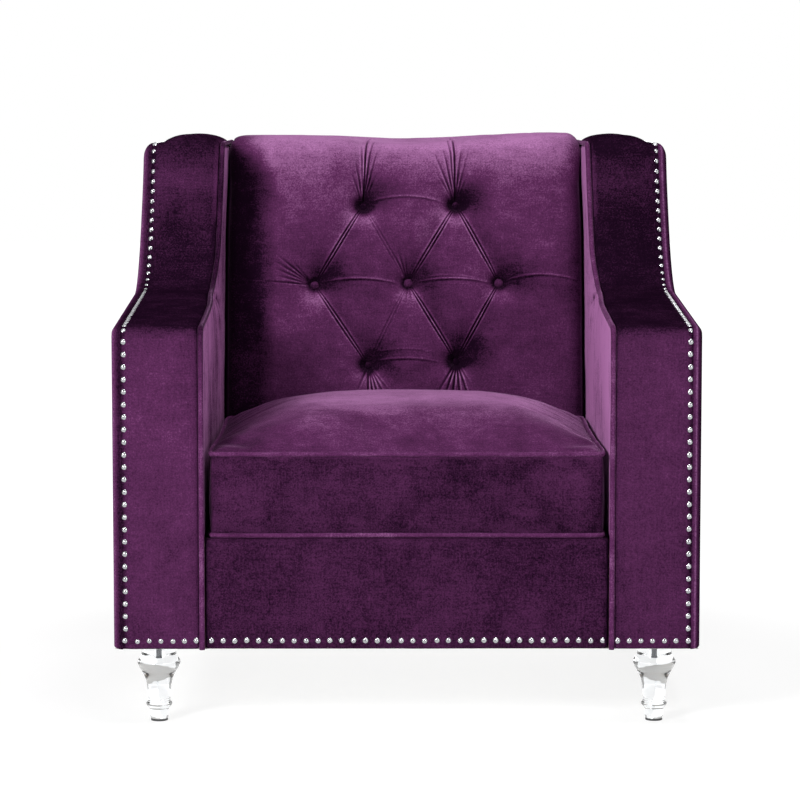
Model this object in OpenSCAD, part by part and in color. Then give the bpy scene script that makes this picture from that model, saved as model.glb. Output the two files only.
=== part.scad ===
// Tufted club chair: square arms that sweep up into wings, a button-tufted back,
// one loose seat cushion, nailhead trim and four clear turned legs.
// The chair faces -Y, stands on z = 0, and its box is centred on x = 0 and y = 0.
// Inside the modules y is the distance behind the arm fronts; seat_frame() shifts it.

/* [Overall] */
// Width between the inside faces of the arms
inside_w = 590; // [500:1:680]
// Width of one arm
arm_w = 130; // [115:1:160]
// Depth from the front nailheads to the outside back
overall_d = 810; // [760:1:900]
// Height of the crown of the back roll
overall_h = 849; // [815:1:900]
// Floor to the underside of the upholstery
base_z = 113; // [90:1:130]

/* [Arms and wings] */
// Height of the arm at its front edge
arm_front_h = 581; // [550:1:600]
// Rise of the arm top, in degrees
arm_slope = 4; // [1:0.5:6]
// Radius of the arm's front top edge
arm_nose_r = 18; // [16:1:30]
// Distance behind the front where the arm starts to sweep up
swoop_y = 400; // [370:1:410]
// Radius of the sweep from arm to wing
swoop_r = 100; // [70:1:115]
// Lean of the wing's front edge, in degrees from level
wing_lean = 86; // [80:1:89]
// Drop of the wing's top below the crown of the back roll
wing_drop = 11; // [4:1:16]
// Radius of the wing's front top corner
wing_r = 26; // [18:1:40]
// Rake of the outside back, in degrees from upright
rear_rake = 3; // [0:0.5:5]

/* [Seat and back] */
// Height of the apron from the underside to the deck
apron_h = 162; // [150:1:175]
// Recess of the apron behind the arm fronts
apron_in = 4; // [3:0.5:10]
// Depth of the seat from the arm fronts to the back pad
seat_d = 532; // [500:1:545]
// Recline of the back pad, in degrees from upright
recline = 11; // [6:0.5:14]
// Height above the deck where the recline starts
recline_rise = 125; // [115:1:140]
// Thickness of the back pad at its crests
back_pad_t = 60; // [50:1:70]
// Radius of the roll over the front of the back
roll_r = 44; // [38:1:50]
// Radius of the roll over the rear of the back
rear_roll_r = 36; // [30:1:40]

/* [Tufting] */
// Number of rows of buttons
button_rows = 3; // [2:1:3]
// Sideways distance between neighbouring buttons in a row
button_pitch = 150; // [140:1:160]
// Height of the lowest row of buttons above the deck
button_low_rise = 206; // [190:1:215]
// Drop from the crown of the back roll to the top row of buttons
button_drop = 114; // [100:1:125]
// Depth of a button below the pad's crests
tuft_depth = 30; // [20:1:32]
// Reach of the dimple round a button
tuft_reach = 34; // [25:1:45]
// Depth of the pleats between buttons
pleat_depth = 13; // [5:1:16]
// Half width of a pleat's valley
pleat_reach = 13; // [8:1:20]
// Diameter of a covered button
button_d = 18; // [14:0.5:22]
// Height of a covered button's dome
button_h = 4; // [3:0.5:6]

/* [Seat cushion] */
// Gap from the cushion's welt to each arm
cushion_side_gap = 4; // [3:0.5:10]
// Height of the cushion at its welted edge
cushion_h = 125; // [100:1:135]
// Rise of the cushion's crown above its edge
cushion_crown = 60; // [25:1:70]
// Draw-in of the cushion's sides at their middles
side_draw = 5; // [0:0.5:8]
// Pull-in of the cushion's corners
corner_draw = 9; // [4:0.5:14]
// Room behind the cushion for its zipper
zipper_room = 9; // [8:0.5:12]

/* [Fabric and padding] */
// Thickness of a velvet panel
fabric_t = 2; // [1:0.1:2.5]
// Padding over the edges of the arm boards
edge_pad_t = 12; // [8:0.5:13]
// Padding on the inside face of an arm
inside_pad_t = 25; // [15:1:35]
// Diameter of the arm welt
arm_welt_d = 8; // [6:0.5:9]
// Distance of the arm welt's core from the faces beside it
arm_welt_in = 1.5; // [0.5:0.1:2.5]
// Diameter of the cushion welts
cushion_welt_d = 7; // [5:0.5:8]
// Padding in front of the front rail
apron_pad_t = 8; // [5:0.5:10]
// Thickness of the black dust cloth
dust_t = 1; // [0.5:0.1:1.5]

/* [Frame] */
// Thickness of an arm board
board_t = 18; // [15:0.5:21]
// Thickness of the front rail
front_rail_t = 30; // [22:1:38]
// Thickness of the seat's rear rail
seat_rail_t = 48; // [42:1:60]
// Thickness of the outside back rail
back_rail_t = 22; // [18:1:30]
// Height of the outside back rail
back_rail_h = 90; // [60:1:120]
// Height of the top rail's section
top_rail_h = 55; // [40:1:70]
// Thickness of the back posts and the lower back rail
post_t = 28; // [22:1:34]
// Width of a back post
post_w = 50; // [40:1:60]
// Height of the lower back rail
low_rail_h = 45; // [35:1:55]
// Length of a leg block along the arm
leg_block_l = 70; // [60:1:80]
// Height of a leg block
leg_block_h = 45; // [35:1:60]
// Width of an arm spacer along the arm
spacer_l = 40; // [30:1:50]
// Side of a square corner block
block_s = 36; // [30:1:42]
// Height of a corner block
block_h = 70; // [50:1:85]
// Diameter of a frame screw's shank
screw_d = 4.5; // [3.5:0.1:5]
// Length of a frame screw
screw_l = 50; // [44:1:54]

/* [Springs and webbing] */
// Number of sinuous springs
spring_n = 5; // [4:1:6]
// Wire diameter of a spring
spring_wire_d = 4; // [3:0.1:5]
// Half width of a spring's zigzag
spring_half_w = 22; // [18:0.5:25]
// Inside thickness of the deck's padding
deck_pad_t = 12; // [8:1:16]
// Thickness of burlap, scrim and webbing
scrim_t = 1.5; // [1:0.1:2]
// Thickness of a spring clip's plate
clip_t = 1.2; // [0.8:0.1:1.5]
// Diameter of the cross-tie wires
tie_d = 3; // [2:0.1:4]
// Width of a web
web_w = 50; // [40:1:50]

/* [Legs] */
// Sideways distance of a leg's axis from the middle
leg_x = 363; // [350:1:366]
// Distance of the front legs' axes behind the arm fronts
front_leg_y = 52; // [48:1:75]
// Distance of the rear legs' axes before the outside back's foot
rear_leg_in = 56; // [52:1:80]
// Radius of a leg's top disc
leg_top_r = 26.4; // [24:0.2:30]
// Radius of a leg's large bulb
leg_bulb_r = 32; // [28:0.2:36]
// Radius of a leg's waist
leg_waist_r = 16.3; // [13:0.1:18]
// Radius of a leg's lower bead
leg_bead_r = 20.6; // [18:0.1:24]
// Radius of a leg's foot
leg_foot_r = 13.4; // [12:0.1:15]
// Diameter of a hanger bolt
bolt_d = 8; // [6:0.5:8]
// Depth of a hanger bolt in its leg
bolt_in_leg = 24; // [16:1:30]
// Thickness of a foot glide
glide_t = 3; // [2:0.5:5]

/* [Nailheads and zipper] */
// Diameter of a nailhead
nail_d = 9; // [8:0.1:10]
// Height of a nailhead's dome
nail_h = 2.4; // [1.6:0.1:3]
// Distance of the nail rows from the outer edge of an arm
nail_in = 14.5; // [12:0.5:20]
// Distance between nails along the arm's edge
nail_pitch = 18; // [14:0.5:24]
// Distance between nails in the bottom rows
bottom_nail_pitch = 17.2; // [14:0.1:22]
// Height of the bottom rows above the underside
bottom_nail_rise = 13; // [9:0.5:18]
// Height of the zipper's chain of teeth
zipper_h = 5; // [4:0.5:7]
// Length of the zipper's slider
slider_l = 11; // [9:0.5:14]

/* [Hidden] */
$fn = 48;
// Clearance between soft faces that nearly touch
gap = 0.3;
// Clearance round a thread, shank or bolt
bore_gap = 0.2;
// Gap between a nailhead and the cloth below it
nail_gap = 0.3;
// Steps along a quarter of a drawn curve
curve_steps = 7;
far = 2000;

overall_w = inside_w + 2 * arm_w;
wing_h = overall_h - wing_drop;
wing_rear_r = rear_roll_r - wing_drop;
x_in = inside_w / 2;
x_out = overall_w / 2;
nail_proud = nail_gap + nail_h;
arm_welt_proud = arm_welt_d / 2 - arm_welt_in;
front_proud = max(nail_proud, arm_welt_proud);
y_back = overall_d - front_proud - arm_welt_proud;
y_shift = front_proud - overall_d / 2;
frame_z = base_z + dust_t;
deck_z = base_z + apron_h;
recline_z = deck_z + recline_rise;
button_low_h = deck_z + button_low_rise;
top_button_z = overall_h - button_drop;
row_rise = (top_button_z - button_low_h) / (button_rows - 1);
skin_pad_t = fabric_t + edge_pad_t;

// Sideways layers of an arm, from the inside face outwards
x_band = x_in + arm_welt_in + arm_welt_d / 2 + gap;
x_foam = x_in + fabric_t;
x_board = x_foam + inside_pad_t;
x_cavity = x_board + board_t;
x_skin = x_out - fabric_t;
x_outer_board = x_skin - board_t;
x_apron = x_in + arm_welt_in - arm_welt_d / 2 - gap;
welt_clear = arm_welt_in + arm_welt_d / 2 + gap;

// Heights of the deck's layers
deck_foam_z = deck_z - fabric_t - deck_pad_t;
burlap_z = deck_foam_z - scrim_t;
spring_z = burlap_z - 2 * gap - clip_t - spring_wire_d / 2;
rail_top_z = spring_z - spring_wire_d / 2 - gap - clip_t;

// Frame plane behind the back pad, at a given height
function y_frame(z) = seat_d + back_pad_t + (z - recline_z) * tan(recline);
// Outside back at a given height
function y_rear(z) = y_back - (wing_h - wing_rear_r - z) * tan(rear_rake);
web_layer = 2 * scrim_t + 2 * gap;
apron_y = apron_in + fabric_t;
front_rail_y = apron_y + apron_pad_t;
clip_seat = 20;
seat_rail_y = y_frame(rail_top_z) - clip_seat;
top_rail_z1 = overall_h - roll_r + 1;
top_rail_z0 = top_rail_z1 - top_rail_h;

// Placing helpers

module seat_frame() translate([0, y_shift, 0]) children();

// Extrudes a side view, drawn in (y, z), from one x to another
module across(x0, x1) translate([x0, 0, 0]) rotate([90, 0, 90]) linear_extrude(x1 - x0) children();

// side is 1 for the +X arm and -1 for the other
module arm_slab(side, x0, x1) across(side > 0 ? x0 : -x1, side > 0 ? x1 : -x0) children();

function arc(c, r, a0, a1, n) =
    [for (i = [0:n]) let (a = a0 + (a1 - a0) * i / n) [c[0] + r * cos(a), c[1] + r * sin(a)]];
function flip(list) = [for (i = [len(list) - 1:-1:0]) list[i]];
function unit(v) = v / norm(v);

// Outline of an arm and its wing, in (y, z), drawn t inside the finished faces

nose_c = [arm_nose_r, arm_front_h - arm_nose_r];
slope_dir = [cos(arm_slope), sin(arm_slope)];
slope_up = [-sin(arm_slope), cos(arm_slope)];
nose_end = nose_c + arm_nose_r * slope_up;
swoop_start = nose_end + (swoop_y - nose_end[0]) / slope_dir[0] * slope_dir;
swoop_c = swoop_start + swoop_r * slope_up;
wing_dir = [cos(wing_lean), sin(wing_lean)];
wing_back = [sin(wing_lean), -cos(wing_lean)];
swoop_end = swoop_c + swoop_r * wing_back;
wing_run = (wing_h - wing_r - (swoop_end + wing_r * wing_back)[1]) / wing_dir[1];
wing_c = swoop_end + wing_run * wing_dir + wing_r * wing_back;
rear_c = [y_back - wing_rear_r, wing_h - wing_rear_r];

function front_line(t) = concat(
    arc(nose_c, arm_nose_r - t, 180, 90 + arm_slope, curve_steps),
    arc(swoop_c, swoop_r + t, arm_slope - 90, wing_lean - 90, 3 * curve_steps),
    arc(wing_c, wing_r - t, 90 + wing_lean, 90, curve_steps));
function skin_line(t, z0, end_a = 0) =
    concat([[t, z0]], front_line(t), arc(rear_c, wing_rear_r - t, 90, end_a, curve_steps));
function skin_points(t, z0) = concat(skin_line(t, z0), [[y_rear(z0) - t, z0]]);

// Everything in front of the back frame plane and above the deck
module before_back(z0)
    polygon([[-far, z0], [y_frame(z0) - gap, z0], [y_frame(far) - gap, far], [-far, far]]);

// Everything that belongs to the outside back rather than to an arm's band
module rear_zone()
    polygon([for (p = [[-far, -2 * fabric_t], [rear_c[1], -2 * fabric_t], [rear_c[1], far], [-far, far]])
        [y_rear(p[0]) + p[1], p[0]]]);

module board_profile()
    intersection() {
        polygon(skin_points(fabric_t, frame_z));
        polygon(concat([[skin_pad_t, -far]], front_line(skin_pad_t),
            [[far, wing_h - skin_pad_t], [far, -far]]));
    }

module inside_profile()
    intersection() {
        polygon(skin_points(welt_clear, deck_z));
        before_back(deck_z);
    }

module band_profile()
    difference() {
        polygon(skin_points(0, base_z));
        polygon(skin_points(fabric_t, base_z - 1));
        rear_zone();
    }

// Side view of an upright board that follows the outside back
module rear_slab(z0, z1, y_off, t)
    polygon([for (p = [[z0, 0], [z1, 0], [z1, t], [z0, t]]) [y_rear(p[0]) - y_off - p[1], p[0]]]);

// Wooden frame

block_z = rail_top_z - block_h - 10;
screw_head_h = 3;
screw_rise = 16;
screw_stagger = 8;
corners = [for (side = [-1, 1], end = [0, 1]) [side, end]];

// Frame of a corner block: x runs inwards from the arm board, y away from the rail
module at_corner(side, end)
    translate([side * x_board, end == 0 ? front_rail_y + front_rail_t : seat_rail_y, block_z])
        mirror([side > 0 ? 1 : 0, 0, 0]) mirror([0, end, 0]) children();

// Heads of a corner block's screws: two go into the arm board and two into the rail
module at_block_screws()
    for (dz = [-screw_rise, screw_rise]) {
        translate([block_s, block_s / 2, block_h / 2 + dz]) rotate([0, 90, 0]) children();
        translate([block_s / 2, block_s, block_h / 2 + dz + screw_stagger])
            rotate([-90, 0, 0]) children();
    }

module screw_holes()
    for (c = corners) at_corner(c[0], c[1]) at_block_screws()
        translate([0, 0, -screw_l - gap])
            cylinder(d = screw_d + bore_gap, h = screw_l + gap + 1, $fn = 24);

module rail_box(y0, t, z0, z1)
    translate([-x_board, y0, z0]) cube([2 * x_board, t, z1 - z0]);

module front_rail() color("burlywood") seat_frame() difference() {
    rail_box(front_rail_y, front_rail_t, frame_z, rail_top_z);
    screw_holes();
}

module seat_rear_rail() color("burlywood") seat_frame() difference() {
    rail_box(seat_rail_y, seat_rail_t, frame_z, rail_top_z);
    screw_holes();
}

module back_rail() color("burlywood") seat_frame()
    across(-x_board, x_board)
        rear_slab(frame_z, frame_z + back_rail_h, fabric_t, back_rail_t);

// Side view of a slab that lies d0 to d1 behind the back frame plane
module frame_slab(z0, z1, d0, d1)
    polygon([for (p = [[z0, d0], [z1, d0], [z1, d1], [z0, d1]])
        [y_frame(p[0]) + p[1] / cos(recline), p[0]]]);

module back_top_rail() color("burlywood") seat_frame() across(-x_board, x_board) {
    frame_slab(top_rail_z0, top_rail_z1, web_layer, web_layer + post_t);
    polygon(concat(
        [for (z = [top_rail_z1 - board_t, top_rail_z1])
            [y_frame(z) + web_layer / cos(recline), z]],
        [for (z = [top_rail_z1, top_rail_z1 - board_t]) [y_rear(z) - fabric_t, z]]));
}

low_rail_z = deck_z + 16;
module back_lower_rail() color("burlywood") seat_frame()
    across(-x_board + post_w, x_board - post_w)
        frame_slab(low_rail_z, low_rail_z + low_rail_h, web_layer, web_layer + post_t);

module back_posts() color("burlywood") seat_frame()
    for (side = [-1, 1]) arm_slab(side, x_board - post_w, x_board)
        frame_slab(rail_top_z, top_rail_z0, web_layer, web_layer + post_t);

module inner_board(side) color("wheat") seat_frame() difference() {
    arm_slab(side, x_board, x_cavity) board_profile();
    screw_holes();
}
module left_inner_board() inner_board(-1);
module right_inner_board() inner_board(1);

module outer_board(side) color("wheat") seat_frame()
    arm_slab(side, x_outer_board, x_skin) board_profile();
module left_outer_board() outer_board(-1);
module right_outer_board() outer_board(1);

rear_leg_y = y_rear(base_z) - rear_leg_in;
leg_places = [for (side = [-1, 1], y = [front_leg_y, rear_leg_y]) [side * leg_x, y]];
spacer_z = frame_z + leg_block_h;
cap_h = 24;
module arm_spacers(side) color("burlywood") seat_frame() arm_slab(side, x_cavity, x_outer_board) {
    translate([front_leg_y - spacer_l / 2, spacer_z])
        square([spacer_l, arm_front_h - skin_pad_t - 2 - spacer_z]);
    translate([rear_leg_y - spacer_l / 2, spacer_z])
        square([spacer_l, wing_h - skin_pad_t - 12 - spacer_z]);
    translate([front_leg_y + spacer_l, arm_front_h - skin_pad_t - cap_h])
        square([swoop_y - front_leg_y - spacer_l, cap_h]);
    translate([front_leg_y + leg_block_l / 2 + 10, frame_z])
        square([rear_leg_y - front_leg_y - leg_block_l - 20, cap_h]);
}
module left_arm_spacers() arm_spacers(-1);
module right_arm_spacers() arm_spacers(1);

nut_flange_r = 12;
nut_flange_t = 2;
nut_barrel_r = bolt_d / 2 + 1.5;
nut_barrel_h = 12;
module leg_blocks() color("burlywood") seat_frame()
    for (p = leg_places) difference() {
        translate([p[0] > 0 ? x_cavity : -x_outer_board, p[1] - leg_block_l / 2, frame_z])
            cube([x_outer_board - x_cavity, leg_block_l, leg_block_h]);
        translate([p[0], p[1], frame_z - 1])
            cylinder(r = nut_barrel_r + bore_gap, h = leg_block_h + 2);
        translate([p[0], p[1], spacer_z - nut_flange_t - bore_gap])
            cylinder(r = nut_flange_r + bore_gap, h = nut_flange_t + 1);
    }

module corner_blocks() color("burlywood") seat_frame() difference() {
    for (c = corners) at_corner(c[0], c[1]) cube([block_s, block_s, block_h]);
    screw_holes();
}

module frame_screws() color("silver") seat_frame()
    for (c = corners) at_corner(c[0], c[1]) at_block_screws() {
        cylinder(d = 2 * screw_d, h = screw_head_h, $fn = 24);
        translate([0, 0, -screw_l]) cylinder(d = screw_d, h = screw_l + 1, $fn = 24);
    }

module tee_nuts() color("silver") seat_frame()
    for (p = leg_places) translate([p[0], p[1], spacer_z]) difference() {
        union() {
            translate([0, 0, -nut_flange_t]) cylinder(r = nut_flange_r, h = nut_flange_t);
            translate([0, 0, -nut_flange_t - nut_barrel_h])
                cylinder(r = nut_barrel_r, h = nut_barrel_h + 1);
        }
        translate([0, 0, -leg_block_h]) cylinder(d = bolt_d + bore_gap, h = far);
    }

bolt_foot_r = bolt_d / 2 + 1;
bolt_foot_h = 4;
module hanger_bolts() color("silver") seat_frame()
    for (p = leg_places) translate([p[0], p[1], frame_z - bolt_in_leg]) {
        cylinder(d = bolt_d, h = bolt_in_leg + leg_block_h - 1);
        cylinder(r = bolt_foot_r, h = bolt_foot_h);
    }

// Seat suspension and deck

spring_loops = 22;
clip_inset = 8;
spring_room = seat_rail_y - front_rail_y - front_rail_t + 2 * clip_inset;
spring_r = floor(spring_room / spring_loops * 5) / 10;
spring_span = 2 * spring_r * spring_loops;
spring_y0 = front_rail_y + front_rail_t - clip_inset + (spring_room - spring_span) / 2;
spring_y1 = spring_y0 + spring_span;
spring_bar = spring_half_w - spring_r;
spring_pitch = inside_w / spring_n;
spring_xs = [for (k = [0:spring_n - 1]) (k - (spring_n - 1) / 2) * spring_pitch];

module sinuous_spring() {
    for (i = [0:spring_loops - 1])
        translate([(i % 2 == 0 ? 1 : -1) * spring_bar, (2 * i + 1) * spring_r, 0])
            rotate([0, 0, i % 2 == 0 ? -90 : 90])
                rotate_extrude(angle = 180) translate([spring_r, 0])
                    circle(d = spring_wire_d, $fn = 24);
    for (i = [0:spring_loops])
        translate([-spring_bar, 2 * i * spring_r, 0])
            rotate([0, 90, 0]) cylinder(d = spring_wire_d, h = 2 * spring_bar, $fn = 24);
}

module seat_springs() color("slategray") seat_frame()
    for (x = spring_xs) translate([x, spring_y0, spring_z]) sinuous_spring();

clip_w = 2 * spring_bar - 4;
clip_reach = spring_wire_d / 2 + gap;
module clip_section() difference() {
    translate([-clip_reach - clip_t, -clip_reach - clip_t])
        square([3 * clip_reach + clip_t, 2 * (clip_reach + clip_t)]);
    translate([-clip_reach, -clip_reach]) square([far, 2 * clip_reach]);
}
module spring_clips() color("gray") seat_frame()
    for (x = spring_xs) {
        translate([0, spring_y0, spring_z])
            across(x - clip_w / 2, x + clip_w / 2) clip_section();
        translate([0, spring_y1, spring_z])
            across(x - clip_w / 2, x + clip_w / 2) mirror([1, 0]) clip_section();
    }

module tie_wires() color("dimgray") seat_frame()
    for (f = [1 / 3, 2 / 3])
        translate([-x_board, spring_y0 + f * (spring_y1 - spring_y0),
            spring_z - (spring_wire_d + tie_d) / 2 - gap])
            rotate([0, 90, 0]) cylinder(d = tie_d, h = 2 * x_board, $fn = 24);

deck_y1 = y_frame(rail_top_z) - gap;
module deck_layer(z, t, y0)
    translate([-x_board, y0, z]) cube([2 * x_board, deck_y1 - y0, t]);
module deck_burlap() color("tan") seat_frame() deck_layer(burlap_z, scrim_t, front_rail_y);
module deck_pad() color("khaki") seat_frame() deck_layer(deck_foam_z, deck_pad_t, front_rail_y);
module deck_cover() color("indigo") seat_frame()
    deck_layer(deck_z - fabric_t, fabric_t, front_rail_y);

// Tufted back

function y_face(z) = seat_d + max(0, z - recline_z) * tan(recline);
crest = [-cos(recline), sin(recline)];
roll_c = let (z = overall_h - roll_r)
    [y_face(z) + roll_r / cos(recline), z];
rear_roll_c = [y_back - rear_roll_r + gap, rear_c[1] + gap];
grid_rise = row_rise / 3;
pad_z0 = deck_z + gap;
roll_z = roll_c[1] + roll_r * sin(recline);
roll_steps = 4;

// Stations of the pad's side view: [y, z, outward y, outward z, height along the face]
low_rows = floor((button_low_h - pad_z0 - 1) / grid_rise);
face_zs = concat([pad_z0],
    [for (k = [-low_rows:3 * (button_rows - 1)]) button_low_h + k * grid_rise],
    [(top_button_z + roll_z) / 2]);
function roll_station(c, r, a) = [c[0] + r * cos(a), c[1] + r * sin(a), cos(a), sin(a),
    roll_z + r * (180 - recline - a) * PI / 180];
stations = concat(
    [for (z = face_zs) z < recline_z ? [seat_d, z, -1, 0, z]
        : [y_face(z), z, crest[0], crest[1], z]],
    [for (i = [0:roll_steps]) roll_station(roll_c, roll_r,
        180 - recline - (90 - recline) * i / roll_steps)],
    [for (i = [0:3]) roll_station(rear_roll_c, rear_roll_r - gap, 90 - 90 * i / 3)]);
station_n = len(stations);

pad_half_w = x_apron;
grid_step = button_pitch / 6;
side_steps = floor((pad_half_w - 4) / grid_step);
half_us = [for (k = [1:side_steps]) k * grid_step];
us = concat([-pad_half_w], [for (u = flip(half_us)) -u], [0], half_us, [pad_half_w]);
u_n = len(us);

buttons = [for (row = [0:button_rows - 1], k = (row % 2 == 0) ? [-0.5, 0.5] : [-1, 0, 1])
    [k * button_pitch, button_low_h + row * row_rise]];
side_pleats = [for (b = buttons) if (abs(b[0]) > button_pitch * 0.9)
    [b, [b[0] * far, b[1]]]];
end_pleats = [for (b = buttons) if (b[1] < button_low_h + 1) [b, [b[0], recline_z]]];
top_pleats = [for (b = buttons) if (b[1] > top_button_z - 1) [b, [b[0], far]]];
diagonal_pleats = [for (a = buttons, b = buttons)
    if (abs(b[1] - a[1] - row_rise) < 1 && abs(b[0] - a[0]) < button_pitch * 0.6) [a, b]];
pleats = concat(diagonal_pleats, side_pleats, end_pleats, top_pleats);

// Distance from a point to the stretch from a to b
function line_gap(p, a, b) =
    let (t = min(1, max(0, (p - a) * (b - a) / ((b - a) * (b - a))))) norm(p - a - t * (b - a));
function bell(d, reach) = exp(-pow(d / reach, 2));
function edge_roll(u) = 14 * pow(abs(u) / pad_half_w, 30);
function fade(st) = st[4] < recline_z || st[2] > 0.99 ? 0 : st[2] > 0 ? 0.35 : 1;
function sink(u, st) = fade(st) * max(concat([edge_roll(u)],
    [for (b = buttons) tuft_depth * bell(norm([u, st[4]] - b), tuft_reach)],
    [for (l = pleats) pleat_depth * bell(line_gap([u, st[4]], l[0], l[1]), pleat_reach)]));

// Point of the back's face at column i and station j, t below the finished cloth
function back_point(i, j, t) = let (st = stations[j], d = sink(us[i], st) + t)
    [us[i], st[0] - d * st[2], st[1] - d * st[3]];
function back_sheet(t) = [for (j = [0:station_n - 1], i = [0:u_n - 1]) back_point(i, j, t)];

// Pleats run along one diagonal of each block of three by three cells
function cell_split(i, j) =
    let (u = (us[i] + us[i + 1]) / 2, v = (stations[j][4] + stations[j + 1][4]) / 2,
        m = floor(2 * u / button_pitch), n = floor((v - button_low_h) / row_rise))
    (m + n + 100) % 2 != 0;
function sheet_faces(n, m, first, flipped, split) = [
    for (j = [0:m - 2], i = [0:n - 2])
        let (a = first + j * n + i, b = a + 1, c = b + n, d = a + n,
            pair = split(i, j) ? [[a, b, c], [a, c, d]] : [[a, b, d], [b, c, d]])
        for (f = pair) flipped ? flip(f) : f];
function never(i, j) = false;

// Faces that join the edges of two n by m sheets whose points follow each other
function rim_faces(n, m) = let (s = n * m)
    let (loop = concat([for (i = [0:n - 2]) i], [for (j = [0:m - 2]) j * n + n - 1],
        [for (i = [n - 1:-1:1]) (m - 1) * n + i], [for (j = [m - 1:-1:1]) j * n]))
    [for (k = [0:len(loop) - 1]) let (a = loop[k], b = loop[(k + 1) % len(loop)])
        for (f = [[a, a + s, b + s], [a, b + s, b]]) f];

module sheet_solid(front, back, n, m, split)
    polyhedron(concat(front, back),
        concat(sheet_faces(n, m, 0, false, split), sheet_faces(n, m, n * m, true, split),
            rim_faces(n, m)));

// Frame of a button: z points out of the crest plane, which is z = 0
module at_buttons()
    for (b = buttons) translate([b[0], y_face(b[1]), b[1]])
        rotate([90 - recline, 0, 0]) children();

twine_d = 1.5;
twine_hole_d = 3;
pad_depth = back_pad_t * cos(recline);
washer_t = 2;
knot_d = 5;
knot_h = 3;
module twine_holes() at_buttons()
    translate([0, 0, -pad_depth - 20]) cylinder(d = twine_hole_d, h = pad_depth + 20, $fn = 16);

module back_cover() color("purple") seat_frame() difference() {
    sheet_solid(back_sheet(0), back_sheet(fabric_t), u_n, station_n, function (i, j) cell_split(i, j));
    twine_holes();
}

pad_in = fabric_t + gap;
foot_corner = [y_frame(pad_z0) - gap, pad_z0];
head_corner = [y_frame(rear_c[1] + gap) - gap, rear_c[1] + gap];
module back_pad_solid() {
    s = u_n * station_n;
    corner_points = [for (c = [foot_corner, head_corner], u = [-pad_half_w, pad_half_w])
        [u, c[0], c[1]]];
    last = (station_n - 1) * u_n;
    mid = low_rows + 2;
    polyhedron(concat(back_sheet(pad_in), corner_points), concat(
        sheet_faces(u_n, station_n, 0, false, function (i, j) cell_split(i, j)),
        [for (i = [0:u_n - 2]) [i + 1, i, s]], [[u_n - 1, s, s + 1]],
        [for (i = [0:u_n - 2]) [last + i, last + i + 1, s + 2]], [[last + u_n - 1, s + 3, s + 2]],
        [[s, s + 2, s + 3], [s, s + 3, s + 1]],
        [for (j = [0:mid - 1]) [j * u_n, (j + 1) * u_n, s]], [[mid * u_n, s + 2, s]],
        [for (j = [mid:station_n - 2]) [j * u_n, (j + 1) * u_n, s + 2]],
        [for (j = [0:mid - 1]) [(j + 2) * u_n - 1, (j + 1) * u_n - 1, s + 1]],
        [[(mid + 1) * u_n - 1, s + 1, s + 3]],
        [for (j = [mid:station_n - 2]) [(j + 2) * u_n - 1, (j + 1) * u_n - 1, s + 3]]));
}
module back_pad() color("khaki") seat_frame() difference() {
    back_pad_solid();
    twine_holes();
}

// A button's back is a shallow cone that follows the dimple under it
pit_slope = tuft_depth * norm([for (d = [grid_step, grid_rise]) (1 - bell(d, tuft_reach)) / d]);
button_low = gap - tuft_depth;
button_rim = button_low + pit_slope * button_d / 2 + gap;
button_dome_r = (pow(button_d / 2, 2) + pow(button_h, 2)) / (2 * button_h);
module tuft_buttons() color("purple") seat_frame() at_buttons()
    rotate_extrude() polygon(concat(
        [[0, button_low + gap], [twine_d, button_low + gap]],
        [for (i = [0:6]) let (a = asin(button_d / 2 / button_dome_r) * (1 - i / 6))
            [button_dome_r * sin(a),
                button_rim + button_h - button_dome_r * (1 - cos(a))]]));

washer_z = -pad_depth - scrim_t;
module button_twines() color("ivory") seat_frame() at_buttons() {
    translate([0, 0, washer_z - washer_t - 2 * gap])
        cylinder(d = twine_d, h = button_low + gap - washer_z + washer_t + 2 * gap, $fn = 16);
    translate([0, 0, washer_z - washer_t - 2 * gap - knot_h])
        cylinder(d = knot_d, h = knot_h, $fn = 16);
}

module twine_washers() color("silver") seat_frame() at_buttons()
    translate([0, 0, washer_z - washer_t - gap]) difference() {
        cylinder(d = 20, h = washer_t);
        translate([0, 0, -1]) cylinder(d = twine_hole_d, h = washer_t + 2, $fn = 24);
    }

module back_scrim() color("tan") seat_frame() difference() {
    across(-x_board, x_board) frame_slab(rail_top_z + 5, top_rail_z1, 0, scrim_t);
    twine_holes();
}

module back_webbing() color("dimgray") seat_frame()
    for (k = [-1:button_rows - 1]) across(-x_board, x_board)
        frame_slab(button_low_h + (k + 0.5) * row_rise - web_w / 2,
            min(top_rail_z1, button_low_h + (k + 0.5) * row_rise + web_w / 2),
            scrim_t + gap, web_layer - gap);

module outside_back_cover() color("purple") seat_frame() across(-x_skin, x_skin)
    intersection() {
        difference() {
            polygon(skin_points(0, base_z));
            polygon(skin_points(fabric_t - gap, base_z - 1));
        }
        rear_zone();
    }

// Arm upholstery

module arm_pad(side) color("khaki") seat_frame() {
    arm_slab(side, x_foam, x_board) inside_profile();
    arm_slab(side, x_band, x_skin) difference() {
        polygon(skin_points(fabric_t, frame_z));
        board_profile();
    }
}
module left_arm_pad() arm_pad(-1);
module right_arm_pad() arm_pad(1);

module inside_cover(side) color("purple") seat_frame()
    arm_slab(side, x_in, x_foam) inside_profile();
module left_inside_cover() inside_cover(-1);
module right_inside_cover() inside_cover(1);

module arm_band(side) color("mediumpurple") seat_frame() arm_slab(side, x_band, x_skin) band_profile();
module left_arm_band() arm_band(-1);
module right_arm_band() arm_band(1);

module side_cover(side) color("purple") seat_frame()
    arm_slab(side, x_skin, x_out) polygon(skin_points(0, base_z));
module left_side_cover() side_cover(-1);
module right_side_cover() side_cover(1);

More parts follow.
